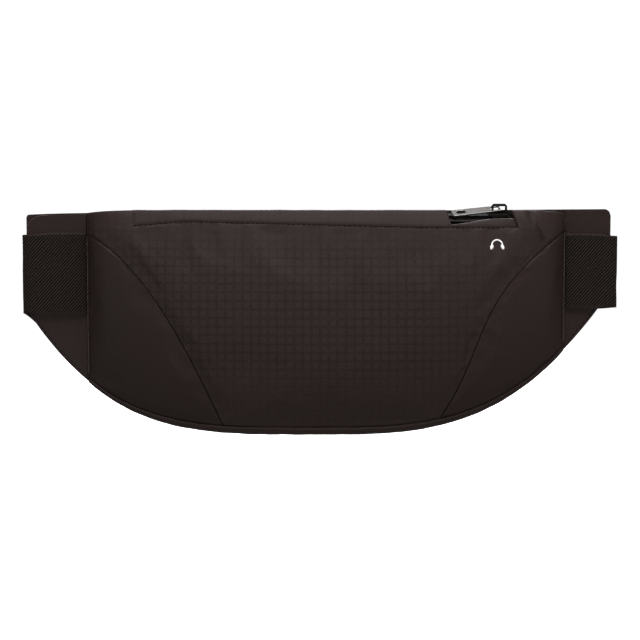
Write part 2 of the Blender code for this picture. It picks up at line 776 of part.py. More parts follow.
def make_socket(plastic):
    end = SOCKET_END + BAR_SLOT + BAR
    slot_half = SOCKET_STRAP + BAR_PLAY
    steps = 8
    flank = []
    for i in range(steps + 1):
        x = blend(MOUTH, CAVITY_END, i / steps)
        flank.append((x, BUCKLE_HALF - SOCKET_WAIST * math.sin(math.pi * i / steps)))
    flank.append((SOCKET_END, BUCKLE_HALF - SHELL))
    outline = [(x, -across) for x, across in flank] + flank[::-1]
    socket = prism("buckle_socket", outline, buckle_point, -BUCKLE_THICK, BUCKLE_THICK, plastic)
    round_edges(socket, PLASTIC_ROUND, 3)
    frame = buckle_box("socket_frame", SOCKET_END - SHELL / 2, end, slot_half + BAR, RAIL_THICK, plastic)
    combine(socket, frame, "UNION")
    inner = BUCKLE_THICK - SHELL
    cavity_half = BUCKLE_HALF - SHELL
    combine(socket, buckle_box("cavity", MOUTH - FLANGE, CAVITY_END, cavity_half, inner, plastic), "DIFFERENCE")
    for side in (-1, 1):
        edges = sorted((side * (cavity_half - SHELL), side * (BUCKLE_HALF + SHELL)))
        window = box_outline(WINDOW_START, WINDOW_END, *edges)
        combine(socket, prism("window", window, buckle_point, -inner, inner, plastic), "DIFFERENCE")
        relief_outline = box_outline(SOCKET_END + BAR_SLOT - GAP, end + GAP, -slot_half, slot_half)
        lows = sorted((side * BAR_THICK, side * (RAIL_THICK + GAP)))
        combine(socket, prism("bar_relief", relief_outline, buckle_point, *lows, plastic), "DIFFERENCE")
    slot = buckle_box("socket_slot", SOCKET_END, SOCKET_END + BAR_SLOT, slot_half, BUCKLE_THICK, plastic)
    combine(socket, slot, "DIFFERENCE")


def make_plug(plastic):
    flange_face = MOUTH - GAP - MOUTH_STEP
    flange_back = -FLANGE * 2
    end = flange_back - 2 * BAR_SLOT - 2 * BAR
    slot_half = PLUG_STRAP + BAR_PLAY
    flange_outline = box_outline(flange_back, flange_face, -BUCKLE_HALF, BUCKLE_HALF)
    plug = prism("buckle_plug", flange_outline, buckle_point, -BUCKLE_THICK, BUCKLE_THICK, plastic)
    round_edges(plug, PLASTIC_ROUND, 3)
    frame = buckle_box("plug_frame", end, flange_back + FLANGE / 2, slot_half + BAR, RAIL_THICK, plastic)
    combine(plug, frame, "UNION")
    tongue_outline = [
        (flange_back + FLANGE / 2, -TONGUE_HALF),
        (TONGUE_END - TONGUE_HALF, -TONGUE_HALF),
        (TONGUE_END, -TONGUE_HALF / 2),
        (TONGUE_END, TONGUE_HALF / 2),
        (TONGUE_END - TONGUE_HALF, TONGUE_HALF),
        (flange_back + FLANGE / 2, TONGUE_HALF),
    ]
    tongue = prism("plug_tongue", tongue_outline, buckle_point, -ARM_THICK, ARM_THICK, plastic)
    combine(plug, tongue, "UNION")
    for number in (0, 1):
        right = flange_back - number * (BAR_SLOT + BAR)
        slot = buckle_box("plug_slot", right - BAR_SLOT, right, slot_half, BUCKLE_THICK, plastic)
        combine(plug, slot, "DIFFERENCE")
    for side in (-1, 1):
        relief_outline = box_outline(end - GAP, flange_back - BAR_SLOT + GAP, -slot_half, slot_half)
        lows = sorted((side * BAR_THICK, side * (RAIL_THICK + GAP)))
        combine(plug, prism("plug_relief", relief_outline, buckle_point, *lows, plastic), "DIFFERENCE")
    set_origin(plug, buckle_point(flange_back, 0.0, 0.0))
    for name, side in (("buckle_arm_upper", 1), ("buckle_arm_lower", -1)):
        make_arm(name, side, plastic)


def make_arm(name, side, plastic):
    """Spring arm with a shouldered head that stands in the socket's window."""
    root = MOUTH + MOUTH_STEP
    head_start = WINDOW_START + SEAM_GAP
    stem = ARM_STEM
    head_high = BUCKLE_HALF - SEAM_GAP
    tip = WINDOW_END + ARM_TIP
    profile = [
        (root, ARM_ROOT - stem / 2),
        (head_start, ARM_ROOT),
        (tip, ARM_ROOT - stem / 2),
        (tip, ARM_ROOT + stem / 2),
        (WINDOW_END - SEAM_GAP, ARM_ROOT + 1.6 * stem),
        (WINDOW_END - stem, head_high - SEAM_GAP),
        (head_start, head_high),
        (head_start, ARM_ROOT + stem),
        (root, ARM_ROOT + stem / 2),
    ]
    outline = [(x, side * across) for x, across in profile]
    arm = prism(name, outline, buckle_point, -ARM_THICK, ARM_THICK, plastic)
    round_edges(arm, SMALL_ROUND)
    set_origin(arm, buckle_point(root + SEAM_GAP, side * ARM_ROOT, 0.0))


def make_keeper(plastic):
    """Loop round both layers of the adjustable strap."""
    low = INNER_RUN - STRAP / 2 - GAP
    high = SEWN_RUN + STRAP / 2 + GAP
    half = PLUG_STRAP + BAR_PLAY
    left = KEEPER_X - KEEPER_LENGTH / 2
    right = KEEPER_X + KEEPER_LENGTH / 2

    def keeper_point(y, across, x):
        return (x, y, REAR_HEIGHT + across)

    def ring(grow):
        return box_outline(low - grow, high + grow, -half - grow, half + grow)

    keeper = prism("strap_keeper", ring(KEEPER_WALL), keeper_point, left, right, plastic)
    round_edges(keeper, SMALL_ROUND)
    hole = prism("keeper_hole", ring(0.0), keeper_point, left - GAP, right + GAP, plastic)
    combine(keeper, hole, "DIFFERENCE")
    set_origin(keeper, (KEEPER_X, REAR_REACH, REAR_HEIGHT))


def main():
    for old in list(bpy.data.objects):
        bpy.data.objects.remove(old)
    ripstop = material("ripstop_cloth", (0.028, 0.021, 0.019), 0.6)
    plain = material("plain_cloth", (0.024, 0.018, 0.016), 0.65)
    mesh_cloth = material("spacer_mesh", (0.016, 0.014, 0.013), 0.9)
    elastic = material("ribbed_elastic", (0.014, 0.011, 0.010), 0.85)
    tape = material("zip_tape_cloth", (0.018, 0.014, 0.013), 0.8)
    nylon = material("zip_nylon", (0.020, 0.017, 0.016), 0.4)
    steel = material("plated_zinc", (0.62, 0.61, 0.60), 0.28, 1.0)
    dark_metal = material("dark_zinc", (0.09, 0.085, 0.08), 0.35, 1.0)
    plastic = material("buckle_acetal", (0.016, 0.015, 0.015), 0.38)

    make_back(plain, mesh_cloth)
    make_wing_facings(plain)
    make_front_panel(ripstop)
    make_side_panel("side_panel_left", -1, plain)
    make_side_panel("side_panel_right", 1, plain)
    make_bottom_gusset(plain)
    make_seam_bindings(plain)
    make_zip_lip(ripstop)
    make_end_tab("zip_end_tab_left", SEAM_LEFT, ZIP_LEFT, ripstop)
    make_end_tab("zip_end_tab_right", SEAM_RIGHT, ZIP_RIGHT, ripstop)
    make_zip_tape("zip_tape_front", -1, TAPE_FRONT, tape)
    make_zip_tape("zip_tape_rear", 1, TAPE_REAR, tape)
    make_zip_chain("zip_chain_front", -1, 0.0, nylon)
    make_zip_chain("zip_chain_rear", 1, TOOTH_PITCH / 2, nylon)
    make_zip_stops(dark_metal)
    make_slider(dark_metal)
    make_puller(steel)
    make_belt(elastic)
    make_socket(plastic)
    make_plug(plastic)
    make_keeper(plastic)

    belt = bpy.data.objects.new("belt", None)
    bpy.context.collection.objects.link(belt)
    for piece in bpy.data.objects:
        if piece.type == "MESH":
            piece.parent = belt


main()
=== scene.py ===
# %% [markdown]
# # A zipped waist pouch on an elastic belt
# The frame already holds every piece at its real size, as plain solids. This lesson dresses them:
# cloth that swells and puckers, a ribbed elastic belt, a metal zip puller and a moulded buckle.
# Each cell makes one piece or one finish, and prints what it made.

# %% Load the frame
import math

import bmesh
import bpy
import numpy as np
from mathutils import Matrix, Vector, noise
from mathutils.bvhtree import BVHTree


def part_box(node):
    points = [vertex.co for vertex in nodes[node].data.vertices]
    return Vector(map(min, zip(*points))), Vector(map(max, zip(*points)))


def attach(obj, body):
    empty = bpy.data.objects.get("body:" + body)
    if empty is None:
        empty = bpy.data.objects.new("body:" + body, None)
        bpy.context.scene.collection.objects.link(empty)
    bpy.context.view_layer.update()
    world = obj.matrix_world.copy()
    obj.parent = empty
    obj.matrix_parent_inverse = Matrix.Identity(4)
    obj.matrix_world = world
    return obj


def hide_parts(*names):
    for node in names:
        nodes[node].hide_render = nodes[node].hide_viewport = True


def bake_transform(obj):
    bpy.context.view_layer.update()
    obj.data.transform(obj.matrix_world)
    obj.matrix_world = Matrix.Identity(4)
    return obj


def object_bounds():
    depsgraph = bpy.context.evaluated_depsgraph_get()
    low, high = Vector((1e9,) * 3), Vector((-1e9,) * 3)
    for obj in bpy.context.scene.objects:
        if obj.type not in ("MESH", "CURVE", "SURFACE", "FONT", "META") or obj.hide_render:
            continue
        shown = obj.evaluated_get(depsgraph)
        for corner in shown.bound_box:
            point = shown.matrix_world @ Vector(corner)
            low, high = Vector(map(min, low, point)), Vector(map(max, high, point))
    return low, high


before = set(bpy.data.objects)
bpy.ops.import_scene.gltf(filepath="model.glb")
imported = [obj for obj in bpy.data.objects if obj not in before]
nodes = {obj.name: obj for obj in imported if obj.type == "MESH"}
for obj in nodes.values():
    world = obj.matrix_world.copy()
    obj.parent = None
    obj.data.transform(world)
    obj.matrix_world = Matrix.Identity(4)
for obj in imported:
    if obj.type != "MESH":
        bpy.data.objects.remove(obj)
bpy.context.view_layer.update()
MM = 0.001

# %% [markdown]
# ## Camera
# The photograph looks straight at the front, from a little above. A long lens keeps the two ends of
# the belt from flaring, so the camera stands well back. One pixel of the photograph is 0.6 mm.

# %% Camera
PIXEL = 0.6 * MM
FRAME_PIXELS = 640
BELT_ROW = 273  # the photograph's row at the height of the belt's middle
LENS = 85.0
SENSOR = 36.0
ELEVATION = math.radians(4.0)
aim = Vector((0.0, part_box("back_panel")[0].y, (BELT_ROW - FRAME_PIXELS / 2) * PIXEL))
distance = FRAME_PIXELS * PIXEL * LENS / SENSOR
camera = bpy.data.objects.new("camera", bpy.data.cameras.new("camera"))
camera.data.lens = LENS
camera.data.sensor_width = SENSOR
camera.location = aim + distance * Vector((0.0, -math.cos(ELEVATION), math.sin(ELEVATION)))
camera.rotation_euler = (math.pi / 2 - ELEVATION, 0.0, 0.0)
bpy.context.scene.collection.objects.link(camera)
bpy.context.scene.camera = camera
print(f"camera {distance:.3f} m from the pouch")

# %% [markdown]
# ## Helpers
# A piece is a bmesh that becomes one object at the origin, riding on a body of the frame. Cloth starts
# as a flat grid from Blender's own operator. Each point of the grid is then laid on the piece's surface,
# as a pattern piece is laid on a form, and its flat place is kept as a UV map for the weave.


# %% Helpers for pieces
def blend(a, b, t):
    return a + (b - a) * t


def smoothstep(t):
    t = min(max(t, 0.0), 1.0)
    return t * t * (3 - 2 * t)


def put(name, data):
    """A new object in the scene."""
    made = bpy.data.objects.new(name, data)
    bpy.context.scene.collection.objects.link(made)
    return made


def smooth_mesh(name, shape, material):
    """Turn a bmesh into a mesh with one material."""
    mesh = bpy.data.meshes.new(name)
    shape.to_mesh(mesh)
    shape.free()
    mesh.shade_smooth()
    mesh.materials.append(material)
    return mesh


def finish(name, shape, material, body, replaced=(), thickness=0.0, offset=-1.0):
    """Turn a bmesh into a named piece that rides on a body and stands for some nodes."""
    mesh = smooth_mesh(name, shape, material)
    piece = put(name, mesh)
    if thickness:
        wall = piece.modifiers.new("cloth", "SOLIDIFY")
        wall.thickness = thickness
        wall.offset = offset
        wall.use_quality_normals = True
    if body:
        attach(piece, body)
    if replaced:
        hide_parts(*replaced)
    print("made", name, "with", len(mesh.polygons), "faces")
    return piece


# %% Helpers for cloth
def lay_grid(columns, rows, place):
    """A grid of cloth: place(s, t) gives each point, and its flat position in metres."""
    shape = bmesh.new()
    bmesh.ops.create_grid(shape, x_segments=columns, y_segments=rows, size=0.5)
    flat = {}
    for vertex in shape.verts:
        s = vertex.co.x + 0.5
        t = vertex.co.y + 0.5
        vertex.co, flat[vertex] = place(s, t)
    layer = shape.loops.layers.uv.new("flat")
    for face in shape.faces:
        for loop in face.loops:
            loop[layer].uv = flat[loop.vert]
    return shape


def extruded(shape, edges):
    """Extrude edges, and give the new points and the new outer edges."""
    grown = bmesh.ops.extrude_edge_only(shape, edges=edges)["geom"]
    points = [g for g in grown if isinstance(g, bmesh.types.BMVert)]
    return points, [g for g in grown if isinstance(g, bmesh.types.BMEdge)]


def ripple(x, y, z, size, seed=0.0):
    """Smooth noise from -1 to 1 with bumps of about the given size."""
    return noise.noise(Vector((x / size + seed, y / size, z / size - seed)))


# %% [markdown]
# ## Materials
# Every finish is a Principled shader whose colour, roughness and bump come from a few texture nodes.
# One function adds a node, sets it up and links it. Colours are written as the hex values that one
# would pick on screen, and a function turns them into the linear values that the shader wants. At a
# scale of 1 the bumps of a noise are about a metre wide, so each scale is 1 over a real size.


# %% Helpers for materials
def linear(hex_colour):
    """An sRGB hex value as linear RGBA."""
    channels = [int(hex_colour[i : i + 2], 16) / 255 for i in (1, 3, 5)]
    flat = [c / 12.92 if c <= 0.04045 else ((c + 0.055) / 1.055) ** 2.4 for c in channels]
    return (*flat, 1.0)


def add(tree, kind, inputs=None, **settings):
    """Add a node, set its properties, and set or link its inputs by name or number."""
    node = tree.nodes.new("ShaderNode" + kind)
    for key, value in settings.items():
        setattr(node, key, value)
    for key, value in (inputs or {}).items():
        if isinstance(value, bpy.types.NodeSocket):
            tree.links.new(value, node.inputs[key])
        else:
            node.inputs[key].default_value = value
    return node


def new_material(name, **values):
    """A material with its Principled shader's plain sockets set."""
    made = bpy.data.materials.new(name)
    made.use_nodes = True
    shader = made.node_tree.nodes["Principled BSDF"]
    for key, value in values.items():
        shader.inputs[key.replace("_", " ")].default_value = value
    return made, made.node_tree, shader


# A Mix node has sockets of one name for numbers and for colours, so they go by their places.
SHARE, NUMBER_A, NUMBER_B, COLOUR_A, COLOUR_B = 0, 2, 3, 6, 7
MIXED_NUMBER, MIXED_COLOUR = 0, 2
WAVE_TURN = 0.314  # Blender's wave texture repeats after this length at a scale of 1

# %% [markdown]
# ### Ripstop nylon
# The front panel is a thin nylon with a thicker thread every 5 mm, both ways, which stops a tear.
# The thicker threads sink a little, and the shade in them is painted as a darker grid. The cloth between
# them swells.
# Nylon filament is smooth, so there is a soft sheen where the cloth turns up to the light. Where it turns
# away to the right and where it rolls under, painted sheen fades the grid. A tiled picture could show all
# this, but lines worked out from the cloth's flat map keep their real size.


# %% Ripstop nylon and plain nylon
RIPSTOP_CELL = 5.0 * MM
RIPSTOP_THREAD = 1.0 * MM
WEAVE_PITCH = 1.3 * MM  # real threads lie 0.3 mm apart, too fine to show, so they're drawn coarser
TAUT_FROM = 8.0 * MM  # above this height the cloth is drawn tight to the zip, and the grid shows less
TAUT_TO = 26.0 * MM
LOW_SHEEN_FROM = -50.0 * MM  # below this the cloth rolls under, and painted sheen fades the grid
LOW_SHEEN_TO = -72.0 * MM
TURNED_SHEEN_FROM = 55.0 * MM  # to the right of this the cloth turns away, and painted sheen fades the grid there too
TURNED_SHEEN_TO = 105.0 * MM
WORN_PATCH = 3.03 * MM  # the grid is worn away here and there
DYE_CLOUD = 1.67 * MM
CREASE = 6.25 * MM
CREASE_HEIGHT = 2.0  # how much higher the creases are than the weave
GRID_SINK = 1.8


def nylon(name, colours, grid_shade_colour, grid_depth):
    made, tree, shader = new_material(
        name,
        Roughness=0.55,
        IOR=1.53,
        Specular_IOR_Level=0.12,
        Sheen_Weight=0.02,
        Sheen_Roughness=0.4,
        Sheen_Tint=linear("#b9a9a2"),
    )
    flat = add(tree, "UVMap", uv_map="flat").outputs["UV"]
    axes = add(tree, "SeparateXYZ", {"Vector": flat}).outputs
    place = add(tree, "TexCoord").outputs["Object"]
    lines = []
    threads = []
    for axis in ("X", "Y"):
        off = add(tree, "Math", {0: axes[axis], 1: RIPSTOP_CELL / 2}, operation="PINGPONG")
        line = add(
            tree,
            "MapRange",
            {"Value": off.outputs[0], "From Min": RIPSTOP_THREAD, "From Max": RIPSTOP_THREAD * 0.2},
            interpolation_type="SMOOTHSTEP",
        )
        lines.append(line.outputs["Result"])
        wave = add(
            tree,
            "TexWave",
            {"Vector": flat, "Scale": WAVE_TURN / WEAVE_PITCH, "Distortion": 1.5, "Detail": 1.0},
            bands_direction=axis,
        )
        threads.append(wave.outputs["Fac"])
    grid = add(tree, "Math", dict(enumerate(lines)), operation="MAXIMUM").outputs[0]
    weave = add(tree, "Math", dict(enumerate(threads)), operation="MULTIPLY").outputs[0]
    worn = add(tree, "TexNoise", {"Vector": place, "Scale": 1 / WORN_PATCH, "Detail": 3.0, "Roughness": 0.6})
    for value, start, end, at_start, at_end in (
        (worn.outputs["Fac"], 0.2, 0.55, 0.0, 1.0),
        (axes["Y"], TAUT_FROM, TAUT_TO, 1.0, 0.25),
        # painted sheen: the grid fades where the cloth turns away to the right and where it rolls under
        (axes["X"], TURNED_SHEEN_FROM, TURNED_SHEEN_TO, 1.0, 0.3),
        (axes["Y"], LOW_SHEEN_FROM, LOW_SHEEN_TO, 1.0, 0.3),
    ):
        fade = add(
            tree,
            "MapRange",
            {"Value": value, "From Min": start, "From Max": end, "To Min": at_start, "To Max": at_end},
        )
        grid = add(tree, "Math", {0: grid, 1: fade.outputs["Result"]}, operation="MULTIPLY").outputs[0]
    grid = add(tree, "Math", {0: grid, 1: grid_depth}, operation="MULTIPLY").outputs[0]
    cloud = add(tree, "TexNoise", {"Vector": place, "Scale": 1 / DYE_CLOUD, "Detail": 3.0}).outputs["Fac"]
    ends = {COLOUR_A: linear(colours[0]), COLOUR_B: linear(colours[1])}
    dyed = add(tree, "Mix", {SHARE: cloud, **ends}, data_type="RGBA").outputs[MIXED_COLOUR]
    # painted shade: the sunk grid threads are mixed towards a darker colour
    tone = add(tree, "Mix", {SHARE: grid, COLOUR_A: dyed, COLOUR_B: linear(grid_shade_colour)}, data_type="RGBA")
    fine = add(tree, "Math", {0: grid, 1: -GRID_SINK, 2: weave}, operation="MULTIPLY_ADD").outputs[0]
    crease = add(tree, "TexNoise", {"Vector": place, "Scale": 1 / CREASE, "Detail": 5.0, "Roughness": 0.55})
    height = add(
        tree, "Math", {0: crease.outputs["Fac"], 1: CREASE_HEIGHT, 2: fine}, operation="MULTIPLY_ADD"
    )
    bump = add(tree, "Bump", {"Height": height.outputs[0], "Strength": 0.25, "Distance": 0.2 * MM})
    tree.links.new(tone.outputs[MIXED_COLOUR], shader.inputs["Base Color"])
    tree.links.new(bump.outputs["Normal"], shader.inputs["Normal"])
    return made


# the ripstop's grid is painted shade in the darker colour; the plain nylons have no grid
ripstop = nylon("ripstop_nylon", ("#241a19", "#2f2523"), "#150e0d", 0.55)
plain_nylon = nylon("plain_nylon", ("#231917", "#2a1f1d"), "#1d1513", 0.0)
# painted shade: a darker copy of the plain nylon, for the left side panel
painted_shade_nylon = nylon("shaded_nylon", ("#201715", "#271d1b"), "#1d1513", 0.0)
print("nylon cloths made")

# %% [markdown]
# ### Ribbed elastic
# The belt is woven elastic with a steep twill: raised cords that lean to the right, about 2 mm apart
# along the belt, between two narrow plain selvages. The cords catch the light and the grooves are dark.
# Modelled cords would take very many faces, so they are a bump on the strap's flat map, and their light
# and shade are painted into its colour: lighter on the cords and the selvages, darker in the grooves.


# %% Ribbed elastic
RIB_PITCH = 1.9 * MM
RIB_SLOPE = math.radians(48)
RIB_JITTER = 0.5 * MM  # the cords wander by up to this much
RIB_WANDER = 3.33 * MM
YARN_SPECK = 1.11 * MM  # single fibres are too fine to show, so their specks are drawn coarser
SELVAGE = 0.8 * MM


def ribbed_elastic():
    made, tree, shader = new_material(
        "ribbed_elastic", Roughness=0.78, IOR=1.5, Specular_IOR_Level=0.08, Sheen_Weight=0.01
    )
    flat = add(tree, "UVMap", uv_map="flat").outputs["UV"]
    axes = add(tree, "SeparateXYZ", {"Vector": flat}).outputs
    slope = {0: axes["Y"], 1: -1 / math.tan(RIB_SLOPE), 2: axes["X"]}
    lean = add(tree, "Math", slope, operation="MULTIPLY_ADD").outputs[0]
    wander = add(tree, "TexNoise", {"Vector": flat, "Scale": 1 / RIB_WANDER, "Detail": 2.0}).outputs["Fac"]
    shifted = add(tree, "Math", {0: wander, 1: RIB_JITTER, 2: lean}, operation="MULTIPLY_ADD").outputs[0]
    cord = add(tree, "Math", {0: shifted, 1: RIB_PITCH / 2}, operation="PINGPONG").outputs[0]
    ridge = add(
        tree,
        "MapRange",
        {"Value": cord, "From Min": RIB_PITCH * 0.16, "From Max": RIB_PITCH * 0.42},
        interpolation_type="SMOOTHSTEP",
    ).outputs["Result"]
    edge = add(tree, "Attribute", attribute_name="selvage").outputs["Fac"]
    smooth_edge = {SHARE: edge, NUMBER_A: ridge, NUMBER_B: 1.0}
    raised = add(tree, "Mix", smooth_edge, data_type="FLOAT").outputs[MIXED_NUMBER]
    speck = add(tree, "TexNoise", {"Vector": flat, "Scale": 1 / YARN_SPECK, "Detail": 3.0}).outputs["Fac"]
    # painted light and shade: the cords and selvages get the lighter colour, the grooves the darker one
    lit = add(tree, "Math", {0: raised, 1: speck}, operation="MULTIPLY").outputs[0]
    ends = {COLOUR_A: linear("#050404"), COLOUR_B: linear("#463a35")}
    tone = add(tree, "Mix", {SHARE: lit, **ends}, data_type="RGBA")
    bump = add(tree, "Bump", {"Height": raised, "Strength": 0.7, "Distance": 0.35 * MM})
    tree.links.new(tone.outputs[MIXED_COLOUR], shader.inputs["Base Color"])
    tree.links.new(bump.outputs["Normal"], shader.inputs["Normal"])
    return made


elastic = ribbed_elastic()
print(f"elastic made, with a cord every {RIB_PITCH / MM:.1f} mm")

# %% [markdown]
# ### Spacer mesh, zip tape and thread
# The pad on the wearer's side is knitted spacer mesh, open for air. The zip's tape is a fine herringbone
# weave. The sewing thread is a matt polyester, in one shade lighter than the cloth and one darker. The
# lighter one also draws painted highlights along folded edges. Seen from here each is a matt mottle.
# Single fibres are too fine to show, so the specks are drawn coarser.


# %% Spacer mesh, zip tape and thread
def speckled(name, dark, light, speck, roughness, depth):
    """A matt surface with a fine mottle, whose specks are about as wide as given."""
    made, tree, shader = new_material(
        name, Roughness=roughness, IOR=1.5, Specular_IOR_Level=0.12, Sheen_Weight=0.01
    )
    place = add(tree, "TexCoord").outputs["Object"]
    specks = add(tree, "TexNoise", {"Vector": place, "Scale": 1 / speck, "Detail": 4.0, "Roughness": 0.6})
    ends = {COLOUR_A: linear(dark), COLOUR_B: linear(light)}
    tone = add(tree, "Mix", {SHARE: specks.outputs["Fac"], **ends}, data_type="RGBA")
    bump = add(tree, "Bump", {"Height": specks.outputs["Fac"], "Strength": 0.5, "Distance": depth})
    tree.links.new(tone.outputs[MIXED_COLOUR], shader.inputs["Base Color"])
    tree.links.new(bump.outputs["Normal"], shader.inputs["Normal"])
    return made


mesh_knit = speckled("spacer_mesh_knit", "#0c0a0a", "#2a2422", 1.11 * MM, 0.9, 0.2 * MM)
tape_weave = speckled("zip_tape_weave", "#100d0c", "#292220", 0.714 * MM, 0.8, 0.1 * MM)
# the lighter thread is real thread on the pad and the strap, and also paints highlights on folded edges
thread = speckled("polyester_thread_and_edge_highlight", "#3a302d", "#564a46", 0.455 * MM, 0.7, 0.05 * MM)
shade_thread = speckled("shade_thread", "#080606", "#14100f", 0.455 * MM, 0.75, 0.05 * MM)
print("knit, tape and two threads made")

# %% [markdown]
# ### Metals, plastic and print
# The puller is grey plated zinc with fine handling marks, and the slider has a dark plating. The buckle
# is moulded acetal with a spark-eroded grain. The small sign by the zip is a matt white transfer print.
# On the metals one noise moves colour, roughness and bump together, as wear does.

# %% Metals, plastic and print
MOULD_CLOUD = 16.7 * MM


def metal(name, dark, light, roughness, mark):
    """Dull plating with marks of a given size, whose tint keeps it grey at its edges."""
    made, tree, shader = new_material(name, Metallic=1.0, Specular_Tint=linear(light))
    place = add(tree, "TexCoord").outputs["Object"]
    marks = add(tree, "TexNoise", {"Vector": place, "Scale": 1 / mark, "Detail": 5.0, "Roughness": 0.65})
    worn = marks.outputs["Fac"]
    ends = {COLOUR_A: linear(dark), COLOUR_B: linear(light)}
    tone = add(tree, "Mix", {SHARE: worn, **ends}, data_type="RGBA")
    rough = add(tree, "MapRange", {"Value": worn, "To Min": roughness * 0.7, "To Max": roughness * 1.4})
    bump = add(tree, "Bump", {"Height": worn, "Strength": 0.12, "Distance": 0.05 * MM})
    tree.links.new(tone.outputs[MIXED_COLOUR], shader.inputs["Base Color"])
    tree.links.new(rough.outputs["Result"], shader.inputs["Roughness"])
    tree.links.new(bump.outputs["Normal"], shader.inputs["Normal"])
    return made


def moulded(name, dark, light, pit, roughness, shine):
    """Plastic with the fine pits of a spark-eroded mould, drawn coarser than they are."""
    made, tree, shader = new_material(name, IOR=1.48, Specular_IOR_Level=shine)
    place = add(tree, "TexCoord").outputs["Object"]
    pits = add(tree, "TexVoronoi", {"Vector": place, "Scale": 1 / pit}, feature="SMOOTH_F1")
    cloud = add(tree, "TexNoise", {"Vector": place, "Scale": 1 / MOULD_CLOUD, "Detail": 3.0}).outputs["Fac"]
    ends = {COLOUR_A: linear(dark), COLOUR_B: linear(light)}
    tone = add(tree, "Mix", {SHARE: cloud, **ends}, data_type="RGBA")
    rough = add(tree, "MapRange", {"Value": cloud, "To Min": roughness * 0.85, "To Max": roughness * 1.2})
    bump = add(tree, "Bump", {"Height": pits.outputs["Distance"], "Strength": 0.25, "Distance": 0.08 * MM})
    tree.links.new(tone.outputs[MIXED_COLOUR], shader.inputs["Base Color"])
    tree.links.new(rough.outputs["Result"], shader.inputs["Roughness"])
    tree.links.new(bump.outputs["Normal"], shader.inputs["Normal"])
    return made


grey_zinc = metal("grey_plated_zinc", "#6c6a69", "#8a8886", 0.3, 1.43 * MM)
dark_zinc = metal("dark_plated_zinc", "#262422", "#3f3c39", 0.42, 2.0 * MM)
acetal = moulded("buckle_acetal", "#0d0c0c", "#171615", 0.625 * MM, 0.42, 0.5)
chain_nylon = moulded("zip_chain_nylon", "#0c0b0a", "#161413", 0.833 * MM, 0.7, 0.06)
white_print = speckled("white_transfer_print", "#e9e7e4", "#ffffff", 0.667 * MM, 0.6, 0.02 * MM)
print("materials made:", len(bpy.data.materials))

# %% [markdown]
# ## The pouch's form
# Seen from the front the hem is a long even curve, nearly straight in the middle and rising faster to each
# end. From the side the cloth swells out from the hem seam and draws in again at the zip, and it thins
# away to nothing at the two upright side seams. It could be sculpted, but here a few formulas hold all of
# that, so that every panel lies on the same surface and the seams meet.

# %% Sizes of the pouch
GAP = 0.3 * MM
SEAM_GAP = 0.5 * MM
CLOTH = 1.2 * MM
SEAM_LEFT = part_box("side_panel_left")[0].x
SEAM_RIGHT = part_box("side_panel_right")[1].x
SEAM = {-1: SEAM_LEFT, 1: SEAM_RIGHT}
POUCH_MIDDLE = (SEAM_LEFT + SEAM_RIGHT) / 2
POUCH_HALF = (SEAM_RIGHT - SEAM_LEFT) / 2
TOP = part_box("zip_lip")[1].z
BACK_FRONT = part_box("back_panel")[0].y
FACING_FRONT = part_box("wing_facing_left")[0].y
STRAP = 1.6 * MM
EDGE = BACK_FRONT - FACING_FRONT + STRAP + 2 * GAP
DROP = 96.0 * MM
HEM_RISE = 33.0 * MM
HEM_REACH = {-1: 141.7 * MM, 1: 127.8 * MM}
HEM_POWER = {-1: 3.75, 1: 3.08}
HEM_DEPTH = 18.0 * MM
BELLY = 11.0 * MM
ZIP_DEPTH = 18.5 * MM
CREST_DEPTH = 14.5 * MM
ZIP_SEAM = 29.5 * MM
ZIP_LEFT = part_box("zip_lip")[0].x
ZIP_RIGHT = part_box("zip_lip")[1].x
ZIP_CREST = -77.0 * MM  # where the zip seam is highest
ZIP_LOW = 67.0 * MM  # from here to the right it runs level
ZIP_RISE = 1.8 * MM
ZIP_WAVER = 0.35 * MM
ZIP_WAVER_SIZE = 30.0 * MM
GUSSET = 5.2 * MM
GUSSET_END = 2.6 * MM
SIDE_FULLNESS = 3.0  # how far out the belly stays full
TOP_FULLNESS = 16.0
CURVE_TOP = {-1: 23.4 * MM, 1: 25.8 * MM}
CURVE_FOOT = {-1: -57.4 * MM, 1: 71.0 * MM}
CURVE_PULL = {
    -1: ((-96.0 * MM, 7.6 * MM), (-63.3 * MM, -76.7 * MM)),
    1: ((87.5 * MM, -14.5 * MM), (99.5 * MM, -39.5 * MM)),
}
print(f"pouch {2 * POUCH_HALF / MM:.0f} mm wide between its side seams, {(TOP + DROP) / MM:.0f} mm high")


# %% The pouch's form
def side_of(x):
    return -1 if x < 0 else 1


def hem(x):
    side = side_of(x)
    return -DROP + HEM_RISE * (abs(x) / HEM_REACH[side]) ** HEM_POWER[side]


def fullness(x, power):
    off = min(abs(x - POUCH_MIDDLE) / POUCH_HALF, 1.0)
    return (1 - off**power) ** 0.8


def hem_seam(x):
    return hem(x) + blend(GUSSET_END, GUSSET, fullness(x, SIDE_FULLNESS))


def zip_seam(x):
    """The zip seam starts low, rises, sinks to the right and wavers, as a hand-fed seam does."""
    along = (x - ZIP_CREST) / (ZIP_LOW - ZIP_CREST)
    sink = blend(ZIP_RISE, -ZIP_RISE, min(max(along, 0.0), 1.0))
    start = -1.3 * ZIP_RISE * smoothstep((ZIP_CREST - x) / (ZIP_CREST - ZIP_LEFT))
    return ZIP_SEAM + sink + start + ZIP_WAVER * ripple(x, 0.0, 0.0, ZIP_WAVER_SIZE, 3.0)


